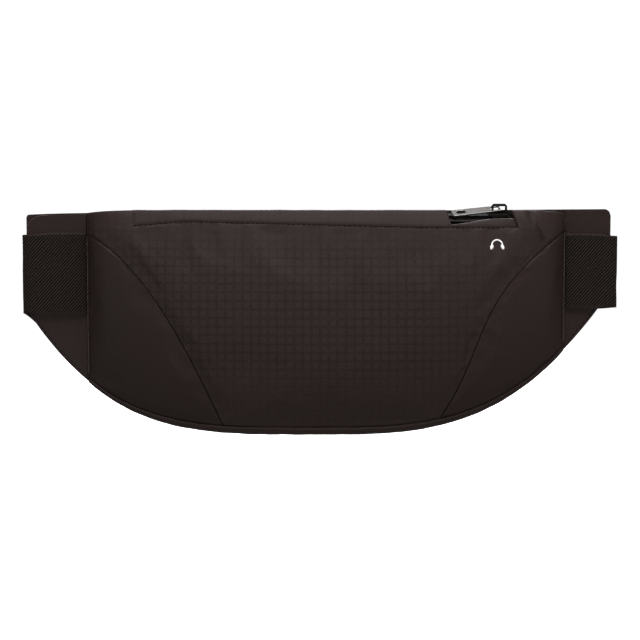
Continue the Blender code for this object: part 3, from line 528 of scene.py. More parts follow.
def front_y(x, z):
    low = hem_seam(x)
    h = min(max((z - low) / (ZIP_SEAM - low), 0.0), 1.0)
    side = fullness(x, SIDE_FULLNESS)
    at_hem = (HEM_DEPTH - EDGE) * side
    at_zip = (ZIP_DEPTH - EDGE) * fullness(x, TOP_FULLNESS)
    swell = BELLY * side * (4 * h * (1 - h)) ** 0.8
    return BACK_FRONT - EDGE - blend(at_hem, at_zip, h) - swell


def crest_y(x):
    return BACK_FRONT - EDGE - (CREST_DEPTH - EDGE) * fullness(x, TOP_FULLNESS)


def lip_y(x, z):
    return blend(front_y(x, ZIP_SEAM), crest_y(x), (z - ZIP_SEAM) / (TOP - ZIP_SEAM))


def curved_seam(side, t):
    foot_x = CURVE_FOOT[side]
    points = [(SEAM[side], CURVE_TOP[side]), *CURVE_PULL[side], (foot_x, hem_seam(foot_x) + SEAM_GAP)]
    weights = ((1 - t) ** 3, 3 * t * (1 - t) ** 2, 3 * t * t * (1 - t), t**3)
    return sum(np.array(p) * w for p, w in zip(points, weights))


print(f"belly {(BACK_FRONT - front_y(0.0, 0.0)) / MM:.1f} mm in front of the back")

# %% [markdown]
# ## Slack and puckers
# Cloth that is sewn and lightly filled is never smooth. It billows slowly between the seams, it draws into
# short puckers where a seam gathers it, and it keeps a tuck where it was folded. All of that could be
# sculpted too. Here billows and puckers are noise, stretched along the way the cloth is pulled, so that
# each can be set in millimetres and dies away where the cloth is held.

# %% Slack and puckers
TUCK_TOP = Vector((124.0 * MM, 37.0 * MM))
TUCK_FOOT = Vector((130.5 * MM, 17.0 * MM))
TUCK_WIDTH = 0.9 * MM
TUCK_DEPTH = 2.0 * MM
TUCK_RIDGE = 0.8 * MM  # the cloth that the tuck pushes up beside it
TUCK_RIDGE_AWAY = 3 * MM
HELD_FULLNESS = 4.0  # the side seams hold the billows down
BILLOW = 0.6 * MM
BILLOW_SIZE = 55 * MM
SMALL_BILLOW = 0.15 * MM
SMALL_BILLOW_SIZE = 21 * MM
ZIP_PUCKER = 0.3 * MM
ZIP_PUCKER_SIZE = 7 * MM
ZIP_PUCKER_REACH = 9 * MM
HEM_PUCKER = 0.3 * MM
HEM_PUCKER_SIZE = 8 * MM
HEM_PUCKER_REACH = 6 * MM
SEAM_PUCKER = 0.4 * MM
SEAM_PUCKER_SIZE = 9 * MM
SEAM_PUCKER_REACH = 9 * MM


def slack(x, z):
    """How far the cloth stands out from the even form, in metres."""
    held = fullness(x, HELD_FULLNESS)
    billow = BILLOW * held * ripple(x, 0.0, z, BILLOW_SIZE, 1.0)
    billow += SMALL_BILLOW * held * ripple(x, 0.0, z * 0.6, SMALL_BILLOW_SIZE, 5.0)
    near_zip = math.exp(-max(ZIP_SEAM - z, 0.0) / ZIP_PUCKER_REACH)
    pucker = ZIP_PUCKER * near_zip * ripple(x, 0.0, z * 0.15, ZIP_PUCKER_SIZE, 9.0)
    near_hem = math.exp(-max(z - hem_seam(x), 0.0) / HEM_PUCKER_REACH)
    pucker += HEM_PUCKER * near_hem * ripple(x, 0.0, z * 0.2, HEM_PUCKER_SIZE, 13.0)
    near_seam = math.exp(-min(abs(x - SEAM_LEFT), abs(x - SEAM_RIGHT)) / SEAM_PUCKER_REACH)
    pucker += SEAM_PUCKER * near_seam * ripple(x * 0.3, 0.0, z, SEAM_PUCKER_SIZE, 17.0)
    along = (TUCK_TOP.y - z) / (TUCK_TOP.y - TUCK_FOOT.y)
    tuck_x = blend(TUCK_TOP.x, TUCK_FOOT.x, smoothstep(along))
    fade = smoothstep((1.25 - along) / 0.5)
    tuck = -TUCK_DEPTH * fade * math.exp(-(((x - tuck_x) / TUCK_WIDTH) ** 2))
    ridge = math.exp(-(((x - tuck_x + TUCK_RIDGE_AWAY) / (2 * TUCK_WIDTH)) ** 2))
    return billow + pucker + (tuck + TUCK_RIDGE * fade * ridge)


print(f"the cloth stands {slack(0.0, 0.0) / MM:.2f} mm out of its even form in the middle")

# %% Sewn edges
ROLL_DEPTH = 0.8 * MM
GROOVE_WIDTH = 0.9 * MM
STITCH_DRAW = 0.5 * MM


def rolled(distance):
    """A sewn edge rolls in towards its seam: how far, at a distance from the edge."""
    return ROLL_DEPTH * math.exp(-((distance / GROOVE_WIDTH) ** 2))


def drawn_in(x, z):
    """How far the zip's row of stitches draws the cloth in."""
    beside = min(x - ZIP_LEFT, ZIP_RIGHT - x)
    away = (zip_seam(x) - SEAM_GAP - z) / GROOVE_WIDTH
    return STITCH_DRAW * smoothstep(beside / (2 * MM)) * math.exp(-(away**2))


def crowded(s):
    """Move points of an even row towards its two ends, where the cloth turns in."""
    return blend(s, 0.5 - 0.5 * math.cos(math.pi * s), 0.7)


def on_front(x, z, to_edge):
    return Vector((x, front_y(x, z) - slack(x, z) + rolled(to_edge) + drawn_in(x, z), z))


def lay_patch(columns, rows, left, right, top, bottom):
    """Cloth between four edges, each a function of 0 to 1, with its edges rolled in."""

    def place(s, t):
        s = crowded(s)
        t = crowded(1 - t)
        across = blend(left(t), right(t), s)
        down = blend(top(s), bottom(s), t)
        corner = blend(blend(left(0), right(0), s), blend(left(1), right(1), s), t)
        x, z = across + down - corner
        width = abs(right(t)[0] - left(t)[0])
        height = abs(top(s)[1] - bottom(s)[1])
        to_edge = min(s * width, (1 - s) * width, (1 - t) * height)
        return on_front(x, z, to_edge), (x, z)

    return lay_grid(columns, rows, place)


# %% [markdown]
# ## Letting the cloth settle
# A sewn panel is always cut a little longer than the space it spans, and the spare length shows as soft
# creases between its seams. Blender's cloth simulation finds them: the sheet's edges are held, its springs
# want to be a little longer, a light pressure stands for what is in the pouch, and the result is copied
# back.

# %% Letting the cloth settle
SETTLE_FRAMES = 18
SETTLE_LIMIT = 2.5 * MM
PRESSURE = 1.0
FRONT_SPARE = 0.0035  # share by which the front's springs are longer than the space
SIDE_SPARE = 0.002
SPRINGS = {
    "mass": 0.002,
    "quality": 6,
    "tension_stiffness": 20,
    "compression_stiffness": 20,
    "shear_stiffness": 8,
    "bending_stiffness": 0.2,
    "use_pressure": True,
    "uniform_pressure_force": PRESSURE,
}


def settle(shape, spare):
    """Crease a sheet by simulation, with its boundary held, and copy the result to the bmesh."""
    shape.verts.index_update()
    mesh = bpy.data.meshes.new("settling")
    shape.to_mesh(mesh)
    trial = put("settling", mesh)
    held = {v for edge in shape.edges if edge.is_boundary for v in edge.verts}
    held |= {other for v in held for edge in v.link_edges for other in edge.verts}
    trial.vertex_groups.new(name="held").add([v.index for v in held], 1.0, "REPLACE")
    springs = trial.modifiers.new("springs", "CLOTH").settings
    springs.vertex_group_mass = "held"
    for key, value in SPRINGS.items():
        setattr(springs, key, value)
    springs.shrink_min = -spare
    springs.effector_weights.gravity = 0.0
    for number in range(1, SETTLE_FRAMES + 1):
        bpy.context.scene.frame_set(number)
    settled = trial.evaluated_get(bpy.context.evaluated_depsgraph_get()).data.vertices
    largest = 0.0
    for vertex in shape.verts:
        move = settled[vertex.index].co - vertex.co
        if move.length > SETTLE_LIMIT:
            move *= SETTLE_LIMIT / move.length
        largest = max(largest, move.length)
        vertex.co += move
    bpy.context.scene.frame_set(1)
    bpy.data.objects.remove(trial)
    print(f"cloth settled by up to {largest * 1000:.1f} mm")


# %% [markdown]
# ## Front panel
# The centre panel runs from the hem up to the zip, and beyond the two ends of the zip it carries on over
# the top to the back. The grid is laid between the two curved seams. Its top edge is then extruded, only
# outside the zip, in short steps over the crest, so that the cloth is one piece there, as it is sewn.

# %% Edges of the front panel
LIP_PROUD = 0.8 * MM  # the folded cloth stands a little above the solid's crest
EAR_LEAN = 3.6 * MM  # the cloth over the zip's right end leans towards the slider
EAR_EASE = 10.0 * MM
STRAIGHT = 0.06  # share of the panel's edge that runs along the upright seam
TAB_LEDGE = 2.8 * MM  # depth of the folded crest over the ends of the zip
TAB_DIP = 1.4 * MM  # the crest sinks by this much at the upright seams
TAB_FULLNESS = 9.0
ON_SEAM = 0.2 * MM  # points this close to the zip seam belong to it
OVER_THE_CREST = (0.3, 0.6, 0.85, 1.0, 1.15, 1.4, 2.0, 3.0)  # 1 is the crest, 2 the fold and 3 the back


def front_edge(side):
    seam_x = SEAM[side]

    def at(t):
        if t < STRAIGHT:
            high = zip_seam(seam_x) - SEAM_GAP
            point = np.array((seam_x, blend(high, CURVE_TOP[side], t / STRAIGHT)))
        else:
            point = curved_seam(side, (t - STRAIGHT) / (1 - STRAIGHT))
        return point - np.array((side * SEAM_GAP / 2, 0.0))

    return at


# %% Front panel
def front_panel():
    left = front_edge(-1)
    right = front_edge(1)

    def top(s):
        x = blend(left(0)[0], right(0)[0], s)
        return np.array((x, zip_seam(x) - SEAM_GAP))

    def bottom(s):
        x = blend(left(1)[0], right(1)[0], s)
        return np.array((x, hem_seam(x) + SEAM_GAP / 2))

    shape = lay_patch(220, 90, left, right, top, bottom)
    settle(shape, FRONT_SPARE)
    layer = shape.loops.layers.uv.verify()
    outer = [
        edge
        for edge in shape.edges
        if edge.is_boundary
        and all(abs(v.co.z - zip_seam(v.co.x) + SEAM_GAP) < ON_SEAM for v in edge.verts)
        and not ZIP_LEFT < sum(v.co.x for v in edge.verts) / 2 < ZIP_RIGHT
    ]
    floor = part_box("zip_end_tab_left")[1].z - (TOP - ZIP_SEAM) / 2
    for share in OVER_THE_CREST:
        points, outer = extruded(shape, outer)
        for vertex in points:
            x = vertex.co.x
            start = zip_seam(x) - SEAM_GAP
            crest = crest_y(x)
            inside = min(crest + TAB_LEDGE, BACK_FRONT - 2 * GAP)
            top = blend(TOP - TAB_DIP, TOP + LIP_PROUD, fullness(x, TAB_FULLNESS))
            if share <= 1:
                z = blend(start, top, math.sin(share * math.pi / 2))
                y = blend(front_y(x, start), crest, share) - slack(x, z)
            elif share <= 2:
                z = blend(top, floor, share - 1)
                y = blend(crest, inside, (share - 1) ** 0.6)
            else:
                z = floor
                y = blend(inside, BACK_FRONT - GAP, share - 2)
            vertex.co = Vector((x, y, z))
        for face in {f for edge in outer for f in edge.link_faces}:
            for loop in face.loops:
                loop[layer].uv = (loop.vert.co.x, loop.vert.co.z - loop.vert.co.y - CREST_DEPTH)
    for vertex in shape.verts:
        above = (vertex.co.z - zip_seam(vertex.co.x) + SEAM_GAP) / (TOP - ZIP_SEAM)
        beside = 1 - (vertex.co.x - ZIP_RIGHT) / EAR_EASE
        if above > 0 and beside > 0 and vertex.co.x > ZIP_LOW:
            vertex.co.x -= EAR_LEAN * min(above, 1.0) * smoothstep(beside)
    return finish(
        "front_panel_cloth",
        shape,
        ripstop,
        "pack",
        ("front_panel", "zip_end_tab_left", "zip_end_tab_right"),
        thickness=CLOTH,
    )


front = front_panel()

# %% [markdown]
# ## Side panels
# Outside each curved seam lies a plain cloth panel with three sides: the upright seam, the hem and the
# curve. It could be cut out of a rectangle, but a grid that is squeezed between the sides follows them
# exactly. Its upper point is blunt. The edges roll in, so each seam reads as a fine dark groove.


# %% Side panels
BLUNT = 0.012  # share of the curve that the blunt upper point leaves out


def side_panel(name, side, cloth):
    seam_x = SEAM[side]

    def outer(t):
        high = curved_seam(side, BLUNT)[1]
        return np.array((seam_x, blend(high, hem_seam(seam_x) + SEAM_GAP / 2, t)))

    def inner(t):
        return curved_seam(side, blend(BLUNT, 1.0, t)) + np.array((side * SEAM_GAP / 2, 0.0))

    def bottom(s):
        x = blend(outer(1)[0], inner(1)[0], s)
        return np.array((x, hem_seam(x) + SEAM_GAP / 2))

    def top(s):
        return blend(outer(0), inner(0), s)

    edges = (outer, inner) if side < 0 else (inner, outer)

    def from_left(edge):
        return edge if side < 0 else lambda s: edge(1 - s)

    shape = lay_patch(56, 80, *edges, from_left(top), from_left(bottom))
    settle(shape, SIDE_SPARE)
    return finish(name + "_cloth", shape, cloth, "pack", (name,), thickness=CLOTH)


# the left panel gets the darker copy of the plain nylon, as painted shade
side_left = side_panel("side_panel_left", -1, painted_shade_nylon)
side_right = side_panel("side_panel_right", 1, plain_nylon)

# %% [markdown]
# ## Bottom gusset
# A strip of plain cloth rolls under the pouch, from the hem seam to the back. From the front it shows as a
# narrow band below the seam, widest in the middle. A bevel would have one width, so a grid is bent
# round a squarish half ellipse instead.


# %% Bottom gusset
ROUNDNESS = 0.75  # 1 is a half ellipse, and less is squarer
GUSSET_RIPPLE = 0.25 * MM
GUSSET_RIPPLE_SIZE = 9 * MM


def gusset_place(s, t):
    x = blend(SEAM_LEFT + GAP, SEAM_RIGHT - GAP, s)
    turn = math.pi * (1 - t)
    front_at = front_y(x, hem_seam(x)) - slack(x, hem_seam(x)) * 0.5
    rear = BACK_FRONT - GAP
    middle = (front_at + rear) / 2
    deep = hem_seam(x) - hem(x)
    y = middle - (middle - front_at) * math.copysign(abs(math.cos(turn)) ** ROUNDNESS, math.cos(turn))
    wave = GUSSET_RIPPLE * ripple(x, y, 0.0, GUSSET_RIPPLE_SIZE, 21.0)
    z = hem_seam(x) - deep * math.sin(turn) ** ROUNDNESS + wave
    return Vector((x, y, z)), (x, -turn * deep)


gusset = finish(
    "bottom_gusset_cloth",
    lay_grid(180, 14, gusset_place),
    plain_nylon,
    "pack",
    ("bottom_gusset",),
    thickness=CLOTH,
)

# %% [markdown]
# ## Zip lip
# The front cloth is folded over and topstitched, so that a soft lip stands in front of the zip and hides
# it. Where the slider is parked, its body and puller push the lip down. It is a grid of its own, and its
# upper edge turns back, so that the fold looks thick.

# %% Zip lip
LIP_DIP_START = 74.0 * MM
LIP_DIP_WIDTH = 3.0 * MM
LIP_DIP_HEIGHT = {-1: 1.3 * MM, 1: 5.0 * MM}  # at the dip's left end, and under the slider
LIP_DIP_END = 106.0 * MM
LIP_LAP = 0.8 * MM
LIP_WAVER = 0.3 * MM
LIP_WAVER_SIZE = 18 * MM
LIP_PUFF = 0.4 * MM
LIP_RIPPLE = 0.25 * MM
LIP_RIPPLE_SIZE = 12 * MM
LIP_FOLD = 1.6 * MM  # the lip's edge turns back by this much
FOLD_SHARE = 0.2  # the upper share of the lip that turns


def lip_top(x):
    dip = smoothstep((x - LIP_DIP_START) / LIP_DIP_WIDTH)
    high = TOP + LIP_PROUD + LIP_WAVER * ripple(x, 0.0, 0.0, LIP_WAVER_SIZE, 25.0)
    rise = smoothstep((x - LIP_DIP_START) / (LIP_DIP_END - LIP_DIP_START))
    return blend(high, zip_seam(x) + blend(LIP_DIP_HEIGHT[-1], LIP_DIP_HEIGHT[1], rise), dip)


def lip_place(s, t):
    x = blend(ZIP_LEFT - LIP_LAP, ZIP_RIGHT + LIP_LAP, s)
    low = zip_seam(x) - SEAM_GAP
    z = blend(low, lip_top(x), math.sin(t * math.pi / 2))
    start_y = front_y(x, low) - slack(x, low)
    crest = lip_y(x, TOP) - GAP
    puff = LIP_PUFF * math.sin(math.pi * t) + LIP_RIPPLE * t * ripple(x, 0.0, z, LIP_RIPPLE_SIZE, 29.0)
    fold = LIP_FOLD * max(t - 1 + FOLD_SHARE, 0.0) / FOLD_SHARE
    under = (CLOTH + GAP) * smoothstep((x - LIP_DIP_END) / (ZIP_RIGHT - LIP_DIP_END))
    y = blend(start_y, crest, (z - low) / (TOP - low)) - puff + drawn_in(x, z) + fold + under
    return Vector((x, y, z)), (x, z)


lip = finish(
    "zip_lip_cloth", lay_grid(230, 22, lip_place), ripstop, "pack", ("zip_lip",), thickness=CLOTH
)

# %% [markdown]
# ## Back panel and wings
# The back is one piece of cloth from tip to tip, and each of its ends has a second layer in front, where
# the elastic lies. The left facing has a rounder corner than the back behind it, as in the photograph.
# They lie flat, so each is a flat grid with a faint ripple.

# %% Back panel and wings
TIP_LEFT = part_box("back_panel")[0].x
TIP_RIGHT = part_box("back_panel")[1].x
WING_TOP = {-1: 35.8 * MM, 1: 38.2 * MM}
TIP_SAG = 1.0 * MM
TIP_SAG_REACH = 18.0 * MM
SHARP_CORNER = 1.5 * MM
SOFT_CORNER = 4.0 * MM
FACING_CORNER = 9.0 * MM
FACING_INSET = 0.8 * MM
WING_RIPPLE = 0.25 * MM
WING_RIPPLE_SIZE = 14 * MM


def upper_edge(x, left, right, corners):
    """Height of the cloth's upper edge, with round corners at the wing tips."""
    high = blend(WING_TOP[-1], WING_TOP[1], (x - TIP_LEFT) / (TIP_RIGHT - TIP_LEFT))
    high -= TIP_SAG * math.exp((TIP_LEFT - x) / TIP_SAG_REACH)
    for tip, corner in zip((left, right), corners):
        into = corner - abs(x - tip)
        if into > 0:
            high -= corner - math.sqrt(max(corner**2 - into**2, 0.0))
    return high


def lay_wing(left, right, corners, y, inset, columns, rows):
    def place(s, t):
        x = blend(left, right, crowded(s))
        z = blend(hem(x) + inset, upper_edge(x, left, right, corners) - inset, crowded(t))
        wave = WING_RIPPLE * ripple(x, 0.0, z, WING_RIPPLE_SIZE, 33.0)
        return Vector((x, y + abs(wave), z)), (x, z)

    return lay_grid(columns, rows, place)


back = finish(
    "back_panel_cloth",
    lay_wing(TIP_LEFT, TIP_RIGHT, (SHARP_CORNER, SOFT_CORNER), BACK_FRONT, 0.0, 150, 50),
    plain_nylon,
    "pack",
    ("back_panel",),
    thickness=CLOTH,
)
wings = {}
for name, left, right, corners in (
    ("wing_facing_left", TIP_LEFT + GAP, SEAM_LEFT - GAP, (FACING_CORNER, 0.0)),
    ("wing_facing_right", SEAM_RIGHT + GAP, TIP_RIGHT - GAP, (0.0, SOFT_CORNER)),
):
    shape = lay_wing(left, right, corners, FACING_FRONT, FACING_INSET, 40, 60)
    wings[name] = finish(
        name + "_cloth", shape, plain_nylon, "pack", (name,), thickness=CLOTH
    )

# %% [markdown]
# ## Back pad
# The pad is two knitted faces held apart by springy yarn. Its outer face is open: rows of small eyes, set
# like bricks. Real dents are modelled, because they show from behind. The edge is pressed thin and sewn.

# %% Back pad
pad_low, pad_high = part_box("back_pad")
PAD_INSET = 11.0 * MM
PAD_THICK = pad_high.y - pad_low.y
PAD_EDGE = 0.9 * MM
PAD_CROWN = 7 * MM  # the pad reaches its full thickness this far in
PAD_FACE = 0.8 * MM
MESH_CELL = 4.0 * MM
ROW_SHARE = 0.866  # rows set like bricks lie closer together than the eyes of one row
DENT = 0.8 * MM
EYE = 0.42  # radius of an eye, as a share of the cell
EYE_SLOPE = 0.2


def pad_place(s, t):
    x = blend(pad_high.x, pad_low.x, s)
    low = hem(x) + PAD_INSET
    high = upper_edge(x, pad_low.x, pad_high.x, (0.0, 0.0)) - PAD_INSET
    z = blend(low, high, t)
    to_edge = min(x - pad_low.x, pad_high.x - x, z - low, high - z)
    crown = smoothstep(to_edge / PAD_CROWN)
    row = z / (MESH_CELL * ROW_SHARE)
    shift = 0.5 * (math.floor(row + 0.5) % 2)
    across = x / MESH_CELL + shift
    eye = math.hypot(across - round(across), (row - round(row)) * ROW_SHARE)
    dent = DENT * smoothstep((EYE - eye) / EYE_SLOPE)
    y = pad_low.y + PAD_EDGE + (PAD_THICK - PAD_EDGE) * crown - dent
    return Vector((x, y, z)), (x, z)


pad = finish(
    "back_pad_mesh",
    lay_grid(264, 120, pad_place),
    mesh_knit,
    "pack",
    ("back_pad",),
    thickness=PAD_FACE,
)

# %% [markdown]
# ## Elastic belt
# Each half of the belt is sewn into an upright seam, runs out over the wing, folds tightly round its tip
# and comes back behind to the buckle, where it goes round a bar and lies on itself. The path follows the
# solid's: a list of points, with a smooth curve through them.

# %% Sizes of the belt
FOLD = {-1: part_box("elastic_left")[0].x, 1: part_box("elastic_right")[1].x}
FOLD_RADIUS = 4.2 * MM
BELT_HALF = {-1: 24.3 * MM, 1: 22.2 * MM}
BELT_HEIGHT = {-1: -0.3 * MM, 1: 1.3 * MM}
BELT_WASTE = 0.9 * MM
REAR_REACH = 12.1 * MM
REAR_HEIGHT = -4.0 * MM
SLANT_END = 112.0 * MM
SLANT_EASE = 6.0 * MM
BAR_THICK = 0.9 * MM
BAR_SLOT = 6.0 * MM
BAR = 3.5 * MM
FLANGE = 4.0 * MM
SOCKET_END = 36.0 * MM
TURN = BAR_THICK * math.sqrt(2) + GAP + STRAP / 2
INNER_RUN = REAR_REACH - TURN
OUTER_RUN = REAR_REACH + TURN
SEWN_RUN = INNER_RUN + STRAP + GAP
TAIL_END = -100.0 * MM
SEWN_END = 72.0 * MM
STRAP_FRONT = FACING_FRONT - GAP - STRAP / 2
BACK_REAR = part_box("back_panel")[1].y
print(f"belt {2 * BELT_HALF[-1] / MM:.0f} and {2 * BELT_HALF[1] / MM:.0f} mm wide")


# %% A smooth curve through points
def smooth_path(points, steps):
    """A smooth curve through points of any size, with a few steps between each two of them."""
    knots = np.array(points, dtype=float)
    runs = np.diff(knots, axis=0)
    lengths = np.linalg.norm(runs, axis=1)
    slopes = runs / lengths[:, None]
    tangents = [slopes[0]]
    for i in range(1, len(runs)):
        before, after = lengths[i - 1], lengths[i]
        tangents.append((slopes[i - 1] * after + slopes[i] * before) / (before + after))
    tangents.append(slopes[-1])
    path = []
    for i, length in enumerate(lengths):
        for k in range(steps):
            t = k / steps
            start = blend(knots[i], knots[i + 1], t * t * (3 - 2 * t))
            leave = tangents[i] * (t - 2 * t * t + t**3)
            arrive = tangents[i + 1] * (t**3 - t * t)
            path.append(start + (leave + arrive) * length)
    path.append(knots[-1])
    return np.array(path)


# %% Points of the belt
def belt_points(side):
    """Points of (x, y, middle height, half width) from the seam to the straight run behind."""
    seam_x = SEAM[side]
    height = BELT_HEIGHT[side]
    half = BELT_HALF[side]
    centre_x = FOLD[side] - side * (STRAP / 2 + FOLD_RADIUS)
    centre_y = (FACING_FRONT + BACK_REAR) / 2
    drawn = half - BELT_WASTE
    lowered = blend(height, REAR_HEIGHT, 0.25)
    points = [
        (seam_x + side * GAP, STRAP_FRONT, height, half),
        (blend(seam_x, centre_x, 0.6), blend(STRAP_FRONT, centre_y - FOLD_RADIUS, 0.6), height, half),
    ]
    for degrees in range(-90, 91, 30):
        a = math.radians(degrees)
        x = centre_x + side * FOLD_RADIUS * math.cos(a)
        z = blend(height, lowered, (degrees + 90) / 180)
        points.append((x, centre_y + FOLD_RADIUS * math.sin(a), z, drawn))
    for share in (0.35, 0.7, 1.0):
        x = blend(centre_x, side * SLANT_END, share)
        y = blend(centre_y + FOLD_RADIUS, INNER_RUN, math.sin(share * math.pi / 2))
        points.append((x, y, blend(lowered, REAR_HEIGHT, smoothstep(share)), drawn))
    points.append((side * (SLANT_END - SLANT_EASE), INNER_RUN, REAR_HEIGHT, drawn))
    return points


def turn_points(bar_x, side):
    """Round a buckle bar, from the run next to the wearer to the outer run."""
    half = BELT_HALF[side] - BELT_WASTE
    turns = [math.radians(d) for d in (-90, -45, 0, 45, 90)]
    return [
        (bar_x - side * TURN * math.cos(a), REAR_REACH + TURN * math.sin(a), REAR_HEIGHT, half)
        for a in turns
    ]


def rear_points(side):
    half = BELT_HALF[side] - BELT_WASTE
    if side < 0:
        bar_x = -FLANGE * 2 - BAR_SLOT - BAR_THICK
        end = -FLANGE * 2 - 2 * BAR_SLOT - 2 * BAR
        runs = [(-SLANT_END / 2, INNER_RUN), (end, INNER_RUN)], [
            (end, OUTER_RUN),
            (end - 2 * BAR_SLOT, SEWN_RUN),
            (blend(end, TAIL_END, 0.6), SEWN_RUN),
            (TAIL_END, SEWN_RUN),
        ]
    else:
        bar_x = SOCKET_END + BAR_SLOT + BAR_THICK
        end = SOCKET_END + BAR_SLOT + 2 * BAR
        runs = [(SLANT_END * 0.7, INNER_RUN)], [
            (end, OUTER_RUN),
            (end + 2 * BAR_SLOT, SEWN_RUN),
            (SEWN_END, SEWN_RUN),
        ]
    before, after = [[(x, y, REAR_HEIGHT, half) for x, y in run] for run in runs]
    return before + turn_points(bar_x, side) + after


print("the left half of the belt has", len(belt_points(-1) + rear_points(-1)), "points")

# %% [markdown]
# ### The elastic itself
# A curve with a bevel could carry the strap, but a grid wrapped along the path keeps its flat length in
# the UV map, so the ribs follow the fold and close up there, as they do in the photograph. In front and
# round the fold the elastic ripples a little. The right strap rides on the pouch's body, and the left one
# rides on none.

# %% Elastic belt
DROOP = {-1: 8.0 * MM, 1: 0.0}
DROOP_START = 13.0 * MM
DROOP_END = 60.0 * MM
BELT_RIPPLE = 0.35 * MM
BELT_RIPPLE_SIZE = 16 * MM
EDGE_RIPPLE = 0.25 * MM
EDGE_RIPPLE_SIZE = 10 * MM
BELT_CELL = 1.5 * MM
BELT_ROWS = 34
LOOK_AHEAD = 0.5 * MM


def make_strap(name, side):
    path = smooth_path(belt_points(side) + rear_points(side), 12)
    along = np.concatenate([[0], np.cumsum(np.linalg.norm(np.diff(path[:, :2], axis=0), axis=1))])
    length = along[-1]
    fold_at = along[np.argmax(path[:, 0] * side)]

    def droop(at, t):
        """Behind the left fold the strap's lower edge hangs down, and shows below the front."""
        past = at - fold_at
        shown = smoothstep(past / DROOP_START) * smoothstep((DROOP_END - past) / (DROOP_END - DROOP_START))
        return DROOP[side] * shown * max(1 - 2 * t, 0.0) ** 1.5

    def place(s, t):
        at = (s if side > 0 else 1 - s) * length
        x, y, middle, half = (np.interp(at, along, path[:, k]) for k in range(4))
        ahead = [np.interp(min(at + LOOK_AHEAD, length), along, path[:, k]) for k in (0, 1)]
        behind = [np.interp(max(at - LOOK_AHEAD, 0.0), along, path[:, k]) for k in (0, 1)]
        run = np.array(ahead) - np.array(behind)
        run /= np.linalg.norm(run)
        out = Vector((run[1], -run[0], 0.0)) * side
        v = blend(-half, half, t)
        free = smoothstep((fold_at + DROOP_END - at) / DROOP_END)  # behind, the buckle keeps it flat
        slackness = BELT_RIPPLE * free * ripple(at, v, 0.0, BELT_RIPPLE_SIZE, 41.0 + side)
        lift = STRAP / 2 + min(slackness, 0.0)
        point = Vector((x, y, middle + v)) + out * lift
        point.z += EDGE_RIPPLE * free * ripple(at, t, 0.0, EDGE_RIPPLE_SIZE, 45.0) - droop(at, t)
        return point, (side * at, v)

    shape = lay_grid(int(length / BELT_CELL), BELT_ROWS, place)
    strap = finish(name + "_belt", shape, elastic, None, (name,), thickness=STRAP * 0.95)
    mesh = strap.data
    selvage = mesh.attributes.new("selvage", "FLOAT", "POINT")
    uv = mesh.uv_layers["flat"].data
    half = BELT_HALF[side]
    for loop in mesh.loops:
        from_edge = half - abs(uv[loop.index].uv[1])
        selvage.data[loop.vertex_index].value = 1 - smoothstep((from_edge - SELVAGE * 0.6) / SELVAGE)
    print(f"{name} is {length * 1000:.0f} mm long")
    return strap


strap_left = make_strap("elastic_left", -1)
strap_right = make_strap("elastic_right", 1)
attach(strap_right, "pack")
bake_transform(strap_left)

# %% [markdown]
# ## Zip and buckle
# The tapes lie in the trench behind the lip. The two rows of teeth, the stops, the slider and its crown
# are hard pieces whose solids are right, so they only get their finish, and so do the pieces of the
# buckle. The puller is plated a lighter grey.

# %% Zip tapes
ZIP_TILT = math.radians(15.0)
ZIP_MIDDLE = Vector((0.0, -11.5 * MM, 33.2 * MM))
ACROSS = Vector((0.0, math.cos(ZIP_TILT), math.sin(ZIP_TILT)))
TAPE_WIDTH = {-1: 8.2 * MM, 1: 6.6 * MM}
TAPE_SLIT = 0.6 * MM
TAPE = 0.7 * MM
TAPE_SAG = 0.15 * MM
TAPE_SAG_SIZE = 8 * MM
SPREAD = 2.3 * MM
SPREAD_RUN = 3 * MM  # the tapes part over this length
SPREAD_AHEAD = 2 * MM
SLIDER_X = 106.0 * MM


def make_tape(name, side):
    def place(s, t):
        x = blend(ZIP_LEFT + GAP, ZIP_RIGHT - GAP, s)
        inner = blend(TAPE_SLIT, SPREAD, smoothstep((x - SLIDER_X + SPREAD_AHEAD) / SPREAD_RUN))
        across = side * blend(inner, TAPE_WIDTH[side], t if side > 0 else 1 - t)
        sag = TAPE_SAG * ripple(x, across, 0.0, TAPE_SAG_SIZE, 51.0)
        point = ZIP_MIDDLE + ACROSS * across + Vector((x, 0.0, min(sag, 0.0)))
        return point, (x, across)

    shape = lay_grid(160, 8, place)
    finish(name + "_weave", shape, tape_weave, "pack", (name,), thickness=TAPE)


make_tape("zip_tape_front", -1)
make_tape("zip_tape_rear", 1)


# %% Hard pieces
def dress(material, *names):
    for name in names:
        nodes[name].data.materials.clear()
        nodes[name].data.materials.append(material)
    print("dressed", *names)


dress(chain_nylon, "zip_chain_front", "zip_chain_rear")
dress(dark_zinc, "zip_slider", "zip_slider_crown")
dress(dark_zinc, "zip_bottom_stop", "zip_top_stop_front", "zip_top_stop_rear")
dress(grey_zinc, "zip_puller")
dress(acetal, "buckle_socket", "buckle_plug", "buckle_arm_upper", "buckle_arm_lower", "strap_keeper")

# %% [markdown]
# ## Seam bindings
# Inside the pouch, a folded tape covers the raw edges of each upright seam. It is hardly ever seen, but it
# is there: a narrow strip that goes round the edge, made as a grid bent into a U.


# %% Seam bindings
BINDING = 0.3 * MM
BINDING_EASE = 0.2 * MM


